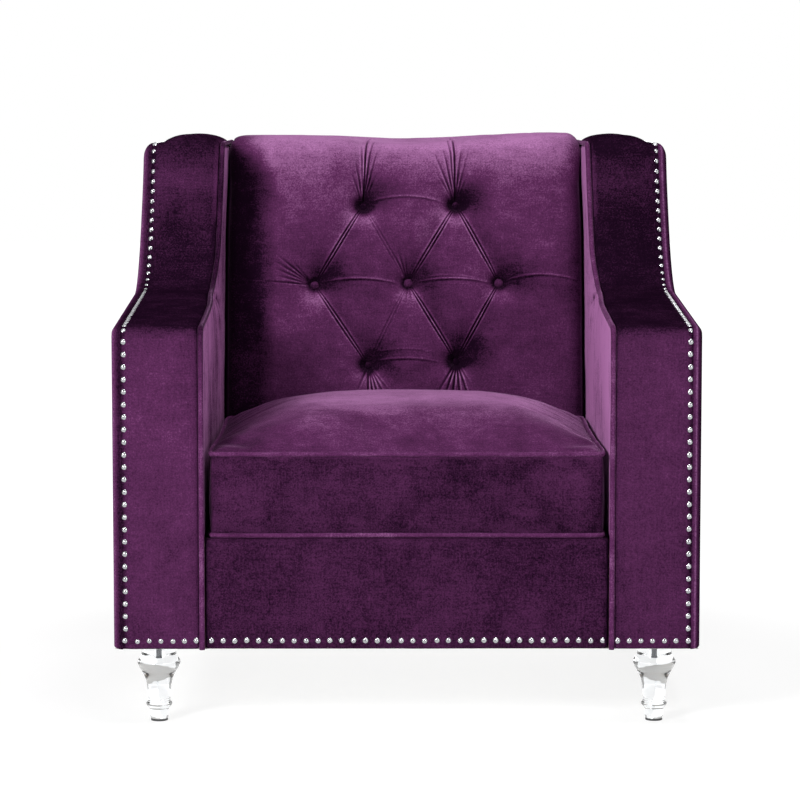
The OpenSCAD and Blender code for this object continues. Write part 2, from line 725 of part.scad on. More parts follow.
// Round cord along a list of points, whose cross-sections face along the path
function path_dir(p, i, closed) = let (n = len(p))
    unit(p[closed ? (i + 1) % n : min(n - 1, i + 1)] - p[closed ? (i + n - 1) % n : max(0, i - 1)]);
module cord(p, r, aside, closed = false, sides = 8) {
    n = len(p);
    points = [for (i = [0:n - 1]) let (d = path_dir(p, i, closed), v = unit(cross(d, aside)))
        for (k = [0:sides - 1]) p[i] + r * (cos(360 * k / sides) * aside
            + sin(360 * k / sides) * v)];
    walls = [for (i = [0:n - (closed ? 1 : 2)], k = [0:sides - 1])
        let (a = i * sides + k, b = i * sides + (k + 1) % sides,
            c = (b + sides) % (n * sides), d = (a + sides) % (n * sides))
        for (f = [[a, b, c], [a, c, d]]) f];
    ends = closed ? [] : [for (k = [1:sides - 2], f = [[0, k + 1, k],
        [(n - 1) * sides, (n - 1) * sides + k, (n - 1) * sides + k + 1]]) f];
    polyhedron(points, concat(walls, ends));
}

welt_end_a = 12;
module arm_welt(side) color("indigo") seat_frame()
    cord([for (p = skin_line(arm_welt_in, base_z, welt_end_a))
        [side * (x_in + arm_welt_in), p[0], p[1]]], arm_welt_d / 2, [1, 0, 0]);
module left_arm_welt() arm_welt(-1);
module right_arm_welt() arm_welt(1);

// Nailhead trim

dome_r = (pow(nail_d / 2, 2) + pow(nail_h, 2)) / (2 * nail_h);
module nailhead() intersection() {
    translate([0, 0, nail_h - dome_r]) sphere(r = dome_r, $fn = 32);
    cylinder(r = nail_d, h = 2 * nail_h, $fn = 32);
}

nail_x = x_out - nail_in;
nail_z = base_z + bottom_nail_rise;
nail_line = concat([[0, nail_z]], front_line(0), [rear_c + [0, wing_rear_r]]);
function run_lengths(p, i = 0, sum = 0) =
    i >= len(p) - 1 ? [sum] : concat([sum], run_lengths(p, i + 1, sum + norm(p[i + 1] - p[i])));
nail_runs = run_lengths(nail_line);
nail_total = nail_runs[len(nail_runs) - 1];
nail_n = floor(nail_total / nail_pitch);
function leg_of(s, i = 0) = i >= len(nail_runs) - 2 || nail_runs[i + 1] > s ? i : leg_of(s, i + 1);
function nail_place(s) = let (i = leg_of(s), d = unit(nail_line[i + 1] - nail_line[i]))
    concat(nail_line[i] + (s - nail_runs[i]) * d, d);

// Puts a nail on a cloth edge: p and d are the place and run in a side view
module nail_at(x, p, d)
    translate([x, p[0] - nail_gap * d[1], p[1] + nail_gap * d[0]])
        rotate([atan2(d[1], d[0]), 0, 0]) nailhead();

module arm_nailheads(side) color("silver") seat_frame() {
    for (k = [0:nail_n]) let (q = nail_place(k * nail_total / nail_n))
        nail_at(side * nail_x, [q[0], q[1]], [q[2], q[3]]);
    for (k = [1:floor((nail_x - x_band - nail_d / 2) / bottom_nail_pitch)])
        nail_at(side * (nail_x - k * bottom_nail_pitch), [0, nail_z], [0, 1]);
}
module left_nailheads() arm_nailheads(-1);
module right_nailheads() arm_nailheads(1);

apron_nail_n = floor((2 * x_apron - nail_d - 1) / bottom_nail_pitch);
module apron_nailheads() color("silver") seat_frame()
    for (k = [0:apron_nail_n])
        nail_at((k - apron_nail_n / 2) * bottom_nail_pitch, [apron_in, nail_z], [0, 1]);

// Apron and underside

module apron_slab(y, t, z0) translate([-x_apron, y, z0]) cube([2 * x_apron, t, deck_z - z0]);
module apron_pad() color("khaki") seat_frame() apron_slab(apron_y, apron_pad_t, frame_z);
module apron_cover() color("purple") seat_frame() apron_slab(apron_in, fabric_t, base_z);

module dust_cloth() color("black") seat_frame() difference() {
    translate([0, 0, base_z]) linear_extrude(dust_t)
        polygon([for (s = [-1, 1], y = [apron_y, y_rear(base_z) - fabric_t])
            [s * x_skin, s > 0 ? y_rear(base_z) - fabric_t + apron_y - y : y]]);
    for (p = leg_places) translate([p[0], p[1], base_z - 1])
        cylinder(r = leg_top_r + 1, h = dust_t + 2);
}

// Legs: a turned outline whose radius eases from one station to the next

foot_z = 3.6;
neck_z = 15;
bead_z = 25;
waist_z = 36;
bulb_drop = 26;
collar_drop = 11;
bulb_z = base_z - bulb_drop;
leg_neck_r = leg_foot_r + 1.4;
turning = [[foot_z, leg_foot_r], [neck_z, leg_neck_r], [bead_z, leg_bead_r],
    [waist_z, leg_waist_r], [bulb_z, leg_bulb_r], [base_z - collar_drop, leg_top_r]];
function ease(a, b, f) = a + (b - a) * (1 - cos(180 * f)) / 2;
function turned_points(st) = [for (k = [0:len(st) - 2], i = [0:curve_steps - 1])
    let (f = i / curve_steps) [ease(st[k][1], st[k + 1][1], f), st[k][0]
        + (st[k + 1][0] - st[k][0]) * f]];
module leg(place) color("lightcyan", 0.5) seat_frame() translate([place[0], place[1], 0])
    difference() {
        rotate_extrude() polygon(concat([[0, glide_t], [leg_foot_r, glide_t]],
            turned_points(turning), [[leg_top_r, base_z - collar_drop], [leg_top_r, frame_z],
                [0, frame_z]]));
        translate([0, 0, frame_z - bolt_in_leg - gap])
            cylinder(r = bolt_foot_r + bore_gap, h = bolt_in_leg + 1);
    }
module front_left_leg() leg([-leg_x, front_leg_y]);
module front_right_leg() leg([leg_x, front_leg_y]);
module rear_left_leg() leg([-leg_x, rear_leg_y]);
module rear_right_leg() leg([leg_x, rear_leg_y]);

module foot_glides() color("dimgray") seat_frame()
    for (p = leg_places) translate([p[0], p[1], 0]) cylinder(r = leg_foot_r - 1, h = glide_t);

// Loose seat cushion

cushion_z0 = deck_z + gap;
cushion_z1 = cushion_z0 + cushion_h;
welt_r = cushion_welt_d / 2;
welt_out = welt_r - 1;
cushion_hx = x_in - cushion_side_gap - welt_out;
cushion_y0 = apron_in + welt_out;
cushion_y1 = seat_d - zipper_room;
cushion_hy = (cushion_y1 - cushion_y0) / 2;
cushion_cy = (cushion_y1 + cushion_y0) / 2;
cushion_n = 14;
panel_in = 1 + welt_r + gap;

// Place on the cushion's plan for xi and eta from -1 to 1, drawn t inside the boxing
function plan(xi, eta, t) = let (pull = corner_draw * pow(abs(xi * eta), 10)) [
    xi * (cushion_hx - t - side_draw * (1 - eta * eta) - pull),
    cushion_cy + eta * (cushion_hy - t - (eta < 0 ? side_draw * (1 - xi * xi) : 0) - pull)];
function crown(xi, eta) =
    cushion_crown * pow((1 - pow(abs(xi), 2.6)) * (1 - pow(abs(eta), 2.6)), 0.6);
function step_of(k) = 2 * k / cushion_n - 1;
function outline(t) = [for (q = [0:3], k = [0:cushion_n - 1]) let (s = step_of(k))
    plan(q == 0 ? s : q == 1 ? 1 : q == 2 ? -s : -1, q == 0 ? -1 : q == 1 ? s : q == 2 ? 1 : -s, t)];
function cushion_sheet(t, z, crowned) = [for (j = [0:cushion_n], i = [0:cushion_n])
    let (xi = step_of(i), eta = step_of(j), p = plan(xi, eta, t))
        [p[0], p[1], z + (crowned ? crown(xi, eta) : 0)]];

module cushion_slab(z0, z1, crowned_below)
    sheet_solid(cushion_sheet(panel_in, z0, crowned_below), cushion_sheet(panel_in, z1, true),
        cushion_n + 1, cushion_n + 1, function (i, j) never(i, j));

module cushion_core() color("khaki") seat_frame()
    cushion_slab(cushion_z0 + fabric_t + gap, cushion_z1 - fabric_t - gap, false);
module cushion_top_panel() color("purple") seat_frame()
    cushion_slab(cushion_z1 - fabric_t, cushion_z1, true);
module cushion_boxing() color("rebeccapurple") seat_frame()
    translate([0, 0, cushion_z0 + cushion_welt_d + gap])
        linear_extrude(cushion_h - 2 * (cushion_welt_d + gap)) difference() {
            polygon(outline(0));
            polygon(outline(fabric_t));
        }
module cushion_bottom_panel() color("purple") seat_frame()
    translate([0, 0, cushion_z0]) linear_extrude(fabric_t) polygon(outline(panel_in));

module cushion_welts() color("indigo") seat_frame()
    for (z = [cushion_z0 + welt_r, cushion_z1 - welt_r])
        cord([for (p = outline(1)) [p[0], p[1], z]], welt_r, [0, 0, 1], true);

zipper_z = (cushion_z0 + cushion_z1) / 2;
zipper_half = 190;
chain_t = 1.6;
chain_y = cushion_y1 + gap;
slider_wall = 1.4;
slider_x = -zipper_half + slider_l / 2 + 4;
module zipper_chain() color("silver") seat_frame()
    translate([-zipper_half, chain_y, zipper_z - zipper_h / 2])
        cube([2 * zipper_half, chain_t, zipper_h]);
module zipper_slider() color("silver") seat_frame()
    across(slider_x - slider_l / 2, slider_x + slider_l / 2) difference() {
        translate([chain_y, zipper_z - zipper_h / 2 - gap - slider_wall])
            square([chain_t + gap + slider_wall, zipper_h + 2 * (gap + slider_wall)]);
        translate([chain_y - 1, zipper_z - zipper_h / 2 - gap])
            square([chain_t + gap + 1, zipper_h + 2 * gap]);
    }

front_rail();
seat_rear_rail();
back_rail();
back_top_rail();
back_lower_rail();
left_inner_board();
right_inner_board();
left_outer_board();
right_outer_board();
left_arm_spacers();
right_arm_spacers();
back_posts();
leg_blocks();
corner_blocks();
frame_screws();
tee_nuts();
hanger_bolts();
seat_springs();
spring_clips();
tie_wires();
deck_burlap();
deck_pad();
deck_cover();
back_webbing();
back_scrim();
back_pad();
back_cover();
tuft_buttons();
button_twines();
twine_washers();
outside_back_cover();
left_arm_pad();
right_arm_pad();
left_inside_cover();
right_inside_cover();
left_arm_band();
right_arm_band();
left_side_cover();
right_side_cover();
left_arm_welt();
right_arm_welt();
left_nailheads();
right_nailheads();
apron_nailheads();
apron_pad();
apron_cover();
dust_cloth();
front_left_leg();
front_right_leg();
rear_left_leg();
rear_right_leg();
foot_glides();
cushion_core();
cushion_top_panel();
cushion_boxing();
cushion_bottom_panel();
cushion_welts();
zipper_chain();
zipper_slider();
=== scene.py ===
"""Dressed model of a tufted velvet club chair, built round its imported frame.

Inside the classes lengths are millimetres and y is measured behind the arm fronts.
to_frame() turns such points into metres in the row frame.
"""
import logging
import math
from contextlib import contextmanager
from dataclasses import dataclass, field
from enum import Enum
from typing import Callable, Iterator, Sequence

import bpy
import numpy as np
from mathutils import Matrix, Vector


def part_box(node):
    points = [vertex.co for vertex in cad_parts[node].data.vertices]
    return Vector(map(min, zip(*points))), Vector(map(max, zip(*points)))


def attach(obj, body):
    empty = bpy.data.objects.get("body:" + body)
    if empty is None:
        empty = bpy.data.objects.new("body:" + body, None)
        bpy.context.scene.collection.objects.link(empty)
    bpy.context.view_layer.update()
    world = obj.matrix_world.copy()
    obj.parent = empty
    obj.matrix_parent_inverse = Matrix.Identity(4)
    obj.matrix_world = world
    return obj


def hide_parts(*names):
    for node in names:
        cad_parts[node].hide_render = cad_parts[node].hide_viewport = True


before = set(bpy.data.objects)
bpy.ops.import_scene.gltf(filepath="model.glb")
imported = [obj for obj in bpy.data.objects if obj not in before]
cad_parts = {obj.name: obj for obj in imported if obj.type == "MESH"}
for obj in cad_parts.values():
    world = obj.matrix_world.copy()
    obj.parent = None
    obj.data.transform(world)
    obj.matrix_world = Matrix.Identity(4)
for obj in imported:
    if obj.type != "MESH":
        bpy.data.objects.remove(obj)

MM = 0.001
LOG = logging.getLogger("club_chair")
Array = np.ndarray
Obj = bpy.types.Object


class Side(Enum):
    """Side of the chair as seen from the front, with the sign of x."""

    LEFT = -1
    RIGHT = 1

    @property
    def word(self) -> str:
        """Side's name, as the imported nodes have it."""
        return self.name.lower()


class Body(Enum):
    """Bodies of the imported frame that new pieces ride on."""

    CHAIR = "chair"
    CUSHION = "seat_cushion"


@dataclass(frozen=True)
class ChairSizes:
    """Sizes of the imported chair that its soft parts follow."""

    inside_w: float = 590.0
    arm_w: float = 130.0
    overall_h: float = 849.0
    base_z: float = 113.0
    arm_front_h: float = 581.0
    arm_slope: float = 4.0
    nose_r: float = 18.0
    swoop_y: float = 400.0
    swoop_r: float = 100.0
    wing_lean: float = 86.0
    wing_h: float = 838.0
    wing_r: float = 26.0
    wing_rear_r: float = 25.0
    rear_rake: float = 3.0
    deck_z: float = 275.0
    apron_in: float = 4.0
    seat_d: float = 532.0
    recline: float = 11.0
    recline_z: float = 400.0
    back_pad_t: float = 60.0
    roll_r: float = 44.0
    rear_roll_r: float = 36.0
    y_back: float = 804.8
    y_shift: float = -402.3
    nail_in: float = 14.5
    nail_z: float = 126.0
    nail_pitch: float = 18.0
    arm_welt_r: float = 4.0
    arm_welt_in: float = 1.5
    gap: float = 0.3
    inner_lean: float = 6.0
    inner_lean_z: float = 690.0
    inner_lean_x: float = 292.0
    outer_lean: float = 8.0
    outer_lean_z: float = 600.0
    lean_xs: tuple[float, float] = (306.0, 360.0)
    foot_draw: float = 7.5
    foot_z: float = 614.0
    foot_xs: tuple[float, float] = (250.0, 290.0)

    @property
    def x_in(self) -> float:
        """Inside face of an arm."""
        return self.inside_w / 2

    @property
    def x_out(self) -> float:
        """Outside face of an arm."""
        return self.inside_w / 2 + self.arm_w

    @property
    def x_apron(self) -> float:
        """Half width of the apron and the back between the arm welts."""
        return self.x_in + self.arm_welt_in - self.arm_welt_r - self.gap

    @property
    def x_nail(self) -> float:
        """Line of the nailheads on an arm."""
        return self.x_out - self.nail_in

    def y_frame(self, z: float) -> float:
        """Front plane of the back's frame at a height."""
        return (self.seat_d + self.back_pad_t
                + (z - self.recline_z) * math.tan(math.radians(self.recline)))

    def y_rear(self, z: float) -> float:
        """Outside back at a height."""
        return self.y_back - (self.wing_h - self.wing_rear_r - z) * math.tan(
            math.radians(self.rear_rake))

    def y_face(self, z: float) -> float:
        """Front of the back pad's crests at a height."""
        return self.seat_d + max(0.0, z - self.recline_z) * math.tan(math.radians(self.recline))


SIZES = ChairSizes()


def to_frame(points: Array) -> Array:
    """Turns chair points into the row frame.

    Args:
        points: Points in millimetres, y behind the arm fronts.

    Returns:
        The same points in metres, in the row frame.
    """
    return (np.asarray(points, float) + [0.0, SIZES.y_shift, 0.0]) * MM


def arc(centre: Sequence[float], radius: float, start: float, end: float, steps: int) -> Array:
    """Points along an arc in a side view, angles in degrees."""
    a = np.radians(np.linspace(start, end, steps + 1))
    return np.column_stack([centre[0] + radius * np.cos(a), centre[1] + radius * np.sin(a)])


def straight(start: Sequence[float], end: Sequence[float], steps: int) -> Array:
    """Inner points of a straight run, without its two ends."""
    f = np.linspace(0, 1, steps + 1)[1:-1, None]
    return np.asarray(start, float) * (1 - f) + np.asarray(end, float) * f


def ripple(points: Array, size: float, seed: int) -> Array:
    """Smooth uneven values of about -1 to 1.

    Args:
        points: Points in millimetres, one row each.
        size: Rough width of a bump, in millimetres.
        seed: Fixes the pattern.

    Returns:
        One value for each point.
    """
    rng = np.random.default_rng(seed)
    waves = rng.normal(size=(26, points.shape[-1])) * 2.2 / size
    phases = rng.uniform(0, 2 * math.pi, 26)
    return np.cos(points @ waves.T + phases).sum(-1) / math.sqrt(26) / 1.4


def bell(distance: Array, reach: float) -> Array:
    """Gaussian fall-off."""
    return np.exp(-(distance / reach) ** 2)


def ramp(values: Array, start: float, end: float) -> Array:
    """Goes from 0 at the start to 1 at the end, and is flat past both."""
    return np.clip((values - start) / (end - start), 0, 1)


@dataclass(frozen=True)
class ArmOutline:
    """Side view of an arm and its wing, as (y, z) points from the front's foot to the rear."""

    sizes: ChairSizes = SIZES
    counts: tuple[int, ...] = (40, 9, 34, 18, 16, 11, 16, 9)

    def line(self, inset: float, start_z: float, end_angle: float = 0.0) -> Array:
        """Outline drawn inside the finished faces.

        Args:
            inset: Distance inside the faces.
            start_z: Height of the first point.
            end_angle: Angle of the rear corner's arc at the last point.

        Returns:
            Points, always as many for any inset.
        """
        s, n, t = self.sizes, self.counts, inset
        up = np.array([-math.sin(math.radians(s.arm_slope)), math.cos(math.radians(s.arm_slope))])
        along = np.array([up[1], -up[0]])
        nose = np.array([s.nose_r, s.arm_front_h - s.nose_r])
        nose_end = nose + s.nose_r * up
        swoop = nose_end + (s.swoop_y - nose_end[0]) / along[0] * along + s.swoop_r * up
        lean = math.radians(s.wing_lean)
        wing_dir = np.array([math.cos(lean), math.sin(lean)])
        wing_back = np.array([math.sin(lean), -math.cos(lean)])
        foot = swoop + (s.swoop_r + s.wing_r) * wing_back
        corner = foot + (s.wing_h - s.wing_r - foot[1]) / wing_dir[1] * wing_dir
        rear = np.array([s.y_back - s.wing_rear_r, s.wing_h - s.wing_rear_r])
        parts = [
            arc(nose, s.nose_r - t, 180, 90 + s.arm_slope, n[1]),
            arc(swoop, s.swoop_r + t, s.arm_slope - 90, s.wing_lean - 90, n[3]),
            arc(corner, s.wing_r - t, 90 + s.wing_lean, 90, n[5]),
            arc(rear, s.wing_rear_r - t, 90, end_angle, n[7]),
        ]
        start = np.array([[t, start_z]])
        runs = [start, straight(start[0], parts[0][0], n[0]), parts[0]]
        for k, steps in ((1, n[2]), (2, n[4]), (3, n[6])):
            runs += [straight(parts[k - 1][-1], parts[k][0], steps), parts[k]]
        return np.vstack(runs)

    def marks(self) -> dict[str, int]:
        """Numbers of the points at which the outline's stretches begin."""
        names = ("nose", "top", "sweep", "wing", "corner", "crest", "rear")
        return dict(zip(names, np.cumsum(self.counts).tolist()))

    def normals(self, start_z: float) -> Array:
        """Outward directions of the outline's points.

        Args:
            start_z: Height of the first point.

        Returns:
            One (y, z) direction for each point.
        """
        out = self.line(0.0, start_z) - self.line(1.0, start_z)
        out[0] = [-1.0, 0.0]
        return out / np.linalg.norm(out, axis=1)[:, None]


OUTLINE = ArmOutline()


def run_lengths(points: Array) -> Array:
    """Length along a line of points up to each point."""
    return np.concatenate([[0.0], np.cumsum(np.linalg.norm(np.diff(points, axis=0), axis=1))])


def through(keys: Sequence[tuple[float, float]], places: Array) -> Array:
    """Values at places, in straight runs through (place, value) keys."""
    return np.interp(places, [place for place, _ in keys], [value for _, value in keys])


def select_only(obj: Obj) -> None:
    """Selects one object and makes it the active one."""
    bpy.ops.object.select_all(action="DESELECT")
    obj.select_set(True)
    bpy.context.view_layer.objects.active = obj


@contextmanager
def editing(obj: Obj, keep: bool = False) -> Iterator[None]:
    """Edit mode on one object.

    Args:
        obj: The object.
        keep: Whether what is selected in its mesh stays selected.

    Yields:
        Nothing, with the object in edit mode until the block ends.
    """
    select_only(obj)
    bpy.ops.object.mode_set(mode="EDIT")
    if not keep:
        bpy.ops.mesh.select_all(action="DESELECT")
    try:
        yield
    finally:
        bpy.ops.object.mode_set(mode="OBJECT")


def select_points(obj: Obj, chosen: Array) -> None:
    """Selects only these points of a piece's mesh, for the next stay in edit mode.

    Args:
        obj: The piece.
        chosen: Whether each point is selected.
    """
    with editing(obj):
        pass
    obj.data.vertices.foreach_set("select", chosen)


def apply_modifier(obj: Obj, kind: str, **settings: object) -> Obj:
    """Adds one modifier to a piece and applies it.

    Args:
        obj: The piece.
        kind: Type of the modifier.
        settings: Values of its properties.

    Returns:
        The same piece.
    """
    modifier = obj.modifiers.new(kind.lower(), kind)
    for name, value in settings.items():
        setattr(modifier, name, value)
    select_only(obj)
    bpy.ops.object.modifier_apply(modifier=modifier.name)
    return obj


def thickened(cloth: Obj, thickness: float) -> Obj:
    """Gives a cloth its thickness in millimetres, behind its outer face."""
    return apply_modifier(cloth, "SOLIDIFY", thickness=thickness * MM, offset=-1.0)


def new_piece(name: str, points: Array, faces: Sequence[Sequence[int]]) -> Obj:
    """Makes a smooth-shaded mesh piece from chair points.

    Args:
        name: Name of the piece.
        points: Points in millimetres.
        faces: Faces as point numbers.

    Returns:
        The piece, at the origin.
    """
    mesh = bpy.data.meshes.new(name)
    mesh.from_pydata(to_frame(points).tolist(), [], [list(f) for f in faces])
    mesh.update()
    mesh.shade_smooth()
    obj = bpy.data.objects.new(name, mesh)
    bpy.context.scene.collection.objects.link(obj)
    return obj


def grid_faces(rows: int, cols: int, ring: bool = False, flip: bool = False,
               first: int = 0) -> list[list[int]]:
    """Faces of a grid of points.

    Args:
        rows: Number of rows of points.
        cols: Number of points in a row.
        ring: Whether the last point of a row joins the first.
        flip: Whether the faces turn the other way.
        first: Number of the first point.

    Returns:
        Four point numbers for each face.
    """
    faces = []
    for r in range(rows - 1):
        for c in range(cols if ring else cols - 1):
            d = (c + 1) % cols
            quad = [first + r * cols + c, first + r * cols + d,
                    first + (r + 1) * cols + d, first + (r + 1) * cols + c]
            faces.append(quad[::-1] if flip else quad)
    return faces


def copied_faces(faces: Sequence[Sequence[int]], points_each: int, copies: int) -> list[list[int]]:
    """Faces of copies of one mesh whose points follow each other."""
    return [[i + k * points_each for i in face] for k in range(copies) for face in faces]


def read_points(obj: Obj) -> Array:
    """Points of a piece in chair millimetres."""
    co = np.empty(len(obj.data.vertices) * 3)
    obj.data.vertices.foreach_get("co", co)
    return co.reshape(-1, 3) / MM - [0.0, SIZES.y_shift, 0.0]


def write_points(obj: Obj, points: Array) -> None:
    """Moves a piece's points to these chair millimetres."""
    obj.data.vertices.foreach_set("co", to_frame(points).ravel())
    obj.data.update()


def set_pile_and_painted_light(obj: Obj, values: Array) -> None:
    """Stores painted light (+) and painted shade (-) at each point, with some random brushed pile
    tone; the velvet lightens or darkens its colour by it.
    """
    layer = obj.data.attributes.get("nap") or obj.data.attributes.new("nap", "FLOAT", "POINT")
    layer.data.foreach_set("value", np.clip(values, -1, 1).astype(np.float32))


def mirrored(points: Array, side: Side) -> Array:
    """Puts points drawn for the +x arm on a side of the chair."""
    return points * [side.value, 1.0, 1.0]


def leaned(points: Array) -> Array:
    """Leans points of the wings inwards and draws the seam at their foot outwards.

    Args:
        points: Points in millimetres on either side of the chair.

    Returns:
        The moved points, the same below the wings.
    """
    s = SIZES
    co = np.array(points, float)
    away = np.abs(co[:, 0])
    wide = ramp(away, *s.lean_xs)
    inner = np.clip((co[:, 2] - s.inner_lean_z) / (s.wing_h - s.inner_lean_z), 0, 1.1)
    outer = ramp(co[:, 2], s.outer_lean_z, s.wing_h)
    outer = outer * outer * (3 - 2 * outer)
    lean = (s.inner_lean * inner * np.minimum(1, away / s.inner_lean_x) * (1 - wide)
            + s.outer_lean * outer * wide)
    foot = s.foot_draw * bell(co[:, 2] - s.foot_z, 50) * bell(co[:, 1] - s.swoop_y, 110)
    co[:, 0] -= np.sign(co[:, 0]) * (lean - foot * (1 - wide) * ramp(away, *s.foot_xs))
    return co


def cut_cells(obj: Obj, pitch: float, axes: Sequence[int]) -> None:
    """Cuts a piece's faces into cells with flat cuts at equal distances.

    Args:
        obj: The piece.
        pitch: Distance between cuts in millimetres.
        axes: Directions across which it is cut, 0 for x, 1 for y and 2 for z.
    """
    co = read_points(obj)
    with editing(obj):
        for axis in axes:
            low, high = co[:, axis].min(), co[:, axis].max()
            for at in np.arange(low + pitch / 2, high, pitch):
                place, normal = [0.0, 0.0, 0.0], [0.0, 0.0, 0.0]
                place[axis], normal[axis] = at, 1.0
                bpy.ops.mesh.select_all(action="SELECT")
                bpy.ops.mesh.bisect(plane_co=to_frame(np.array(place)), plane_no=normal)


def spun(name: str, line: Array, at: Sequence[float], steps: int) -> Obj:
    """Turns a half outline round an upright axis into a closed solid.

    Args:
        name: Name of the piece.
        line: Half outline as (radius, z), both ends on the axis.
        at: The axis, as (x, y).
        steps: Number of sides.

    Returns:
        The solid, with its sharp corners kept.
    """
    points = np.column_stack([at[0] + line[:, 0], np.full(len(line), at[1]), line[:, 1]])
    mesh = bpy.data.meshes.new(name)
    mesh.from_pydata(to_frame(points).tolist(), [(i, i + 1) for i in range(len(line) - 1)], [])
    piece = bpy.data.objects.new(name, mesh)
    bpy.context.scene.collection.objects.link(piece)
    with editing(piece):
        bpy.ops.mesh.select_all(action="SELECT")
        bpy.ops.mesh.spin(steps=steps, angle=2 * math.pi, center=to_frame(np.array([*at, 0.0])),
                          axis=(0, 0, 1))
        bpy.ops.mesh.select_all(action="SELECT")
        bpy.ops.mesh.remove_doubles(threshold=0.005 * MM)
        bpy.ops.mesh.normals_make_consistent(inside=False)
    bpy.ops.object.shade_smooth_by_angle(angle=math.radians(40))
    return piece


def joined(pieces: Sequence[Obj], name: str) -> Obj:
    """Joins pieces into one and names it.

    Args:
        pieces: The pieces, the first of which stays.
        name: Its new name.

    Returns:
        The joined piece.
    """
    bpy.ops.object.select_all(action="DESELECT")
    for piece in pieces:
        piece.select_set(True)
    bpy.context.view_layer.objects.active = pieces[0]
    if len(pieces) > 1:
        bpy.ops.object.join()
    pieces[0].name = pieces[0].data.name = name
    return pieces[0]


def distance_to_line(points: Array, line: Array) -> Array:
    """Least distance from each 2-D point to a line of points.

    Args:
        points: The points.
        line: Points along the line.

    Returns:
        One distance for each point.
    """
    best = np.full(len(points), 1e9)
    for a, b in zip(line[:-1], line[1:]):
        d = b - a
        t = np.clip(((points - a) @ d) / max(d @ d, 1e-9), 0, 1)
        best = np.minimum(best, np.linalg.norm(points - a - t[:, None] * d, axis=1))
    return best


def tube(name: str, path: Array, radius: float, aside: Sequence[float], closed: bool = False,
         sides: int = 12) -> Obj:
    """Makes a round cord along a path.

    Args:
        name: Name of the piece.
        path: Points of its centre line.
        radius: Radius of the cord.
        aside: Direction that is never along the path.
        closed: Whether the path is a ring.
        sides: Number of sides of the cord.

    Returns:
        The cord as a closed mesh.
    """
    n = len(path)
    ahead = np.roll(path, -1, axis=0) - np.roll(path, 1, axis=0)
    if not closed:
        ahead[0], ahead[-1] = path[1] - path[0], path[-1] - path[-2]
    ahead /= np.linalg.norm(ahead, axis=1)[:, None]
    side = np.tile(np.asarray(aside, float), (n, 1))
    side -= (side * ahead).sum(1)[:, None] * ahead
    side /= np.linalg.norm(side, axis=1)[:, None]
    up = np.cross(ahead, side)
    lumps = 1 + 0.035 * ripple(run_lengths(path)[:, None], 22, 5)
    if closed:
        lumps = np.ones(n)
    a = np.linspace(0, 2 * math.pi, sides, endpoint=False)
    ring = np.cos(a)[None, :, None] * side[:, None] + np.sin(a)[None, :, None] * up[:, None]
    points = (path[:, None] + radius * lumps[:, None, None] * ring).reshape(-1, 3)
    if closed:
        faces = grid_faces(n + 1, sides, ring=True)
        faces = [[i % (n * sides) for i in f] for f in faces]
    else:
        faces = grid_faces(n, sides, ring=True)
        faces += [list(range(sides))[::-1], list(range((n - 1) * sides, n * sides))]
    return new_piece(name, points, faces)


class Value:
    """A number or colour inside a material, whose operators add Math nodes."""

    def __init__(self, graph: "Graph", socket: bpy.types.NodeSocket) -> None:
        """Wraps one output socket of a graph."""
        self.graph, self.socket = graph, socket

    def math(self, operation: str, first: object, second: object = None) -> "Value":
        """Adds one Math node and returns its result."""
        inputs = {0: first} if second is None else {0: first, 1: second}
        return self.graph.add("ShaderNodeMath", {"operation": operation}, inputs)

    def __add__(self, other: object) -> "Value":
        """Sum."""
        return self.math("ADD", self, other)

    def __radd__(self, other: object) -> "Value":
        """Sum with a number on the left."""
        return self.math("ADD", other, self)

    def __sub__(self, other: object) -> "Value":
        """Difference."""
        return self.math("SUBTRACT", self, other)

    def __rsub__(self, other: object) -> "Value":
        """Difference from a number on the left."""
        return self.math("SUBTRACT", other, self)

    def __mul__(self, other: object) -> "Value":
        """Product."""
        return self.math("MULTIPLY", self, other)

    def __rmul__(self, other: object) -> "Value":
        """Product with a number on the left."""
        return self.math("MULTIPLY", other, self)

    def power(self, exponent: float) -> "Value":
        """Power."""
        return self.math("POWER", self, exponent)

    def sine(self) -> "Value":
        """Sine."""
        return self.math("SINE", self)

    def clamped(self) -> "Value":
        """Kept between 0 and 1."""
        return self.graph.add("ShaderNodeClamp", {}, {"Value": self})


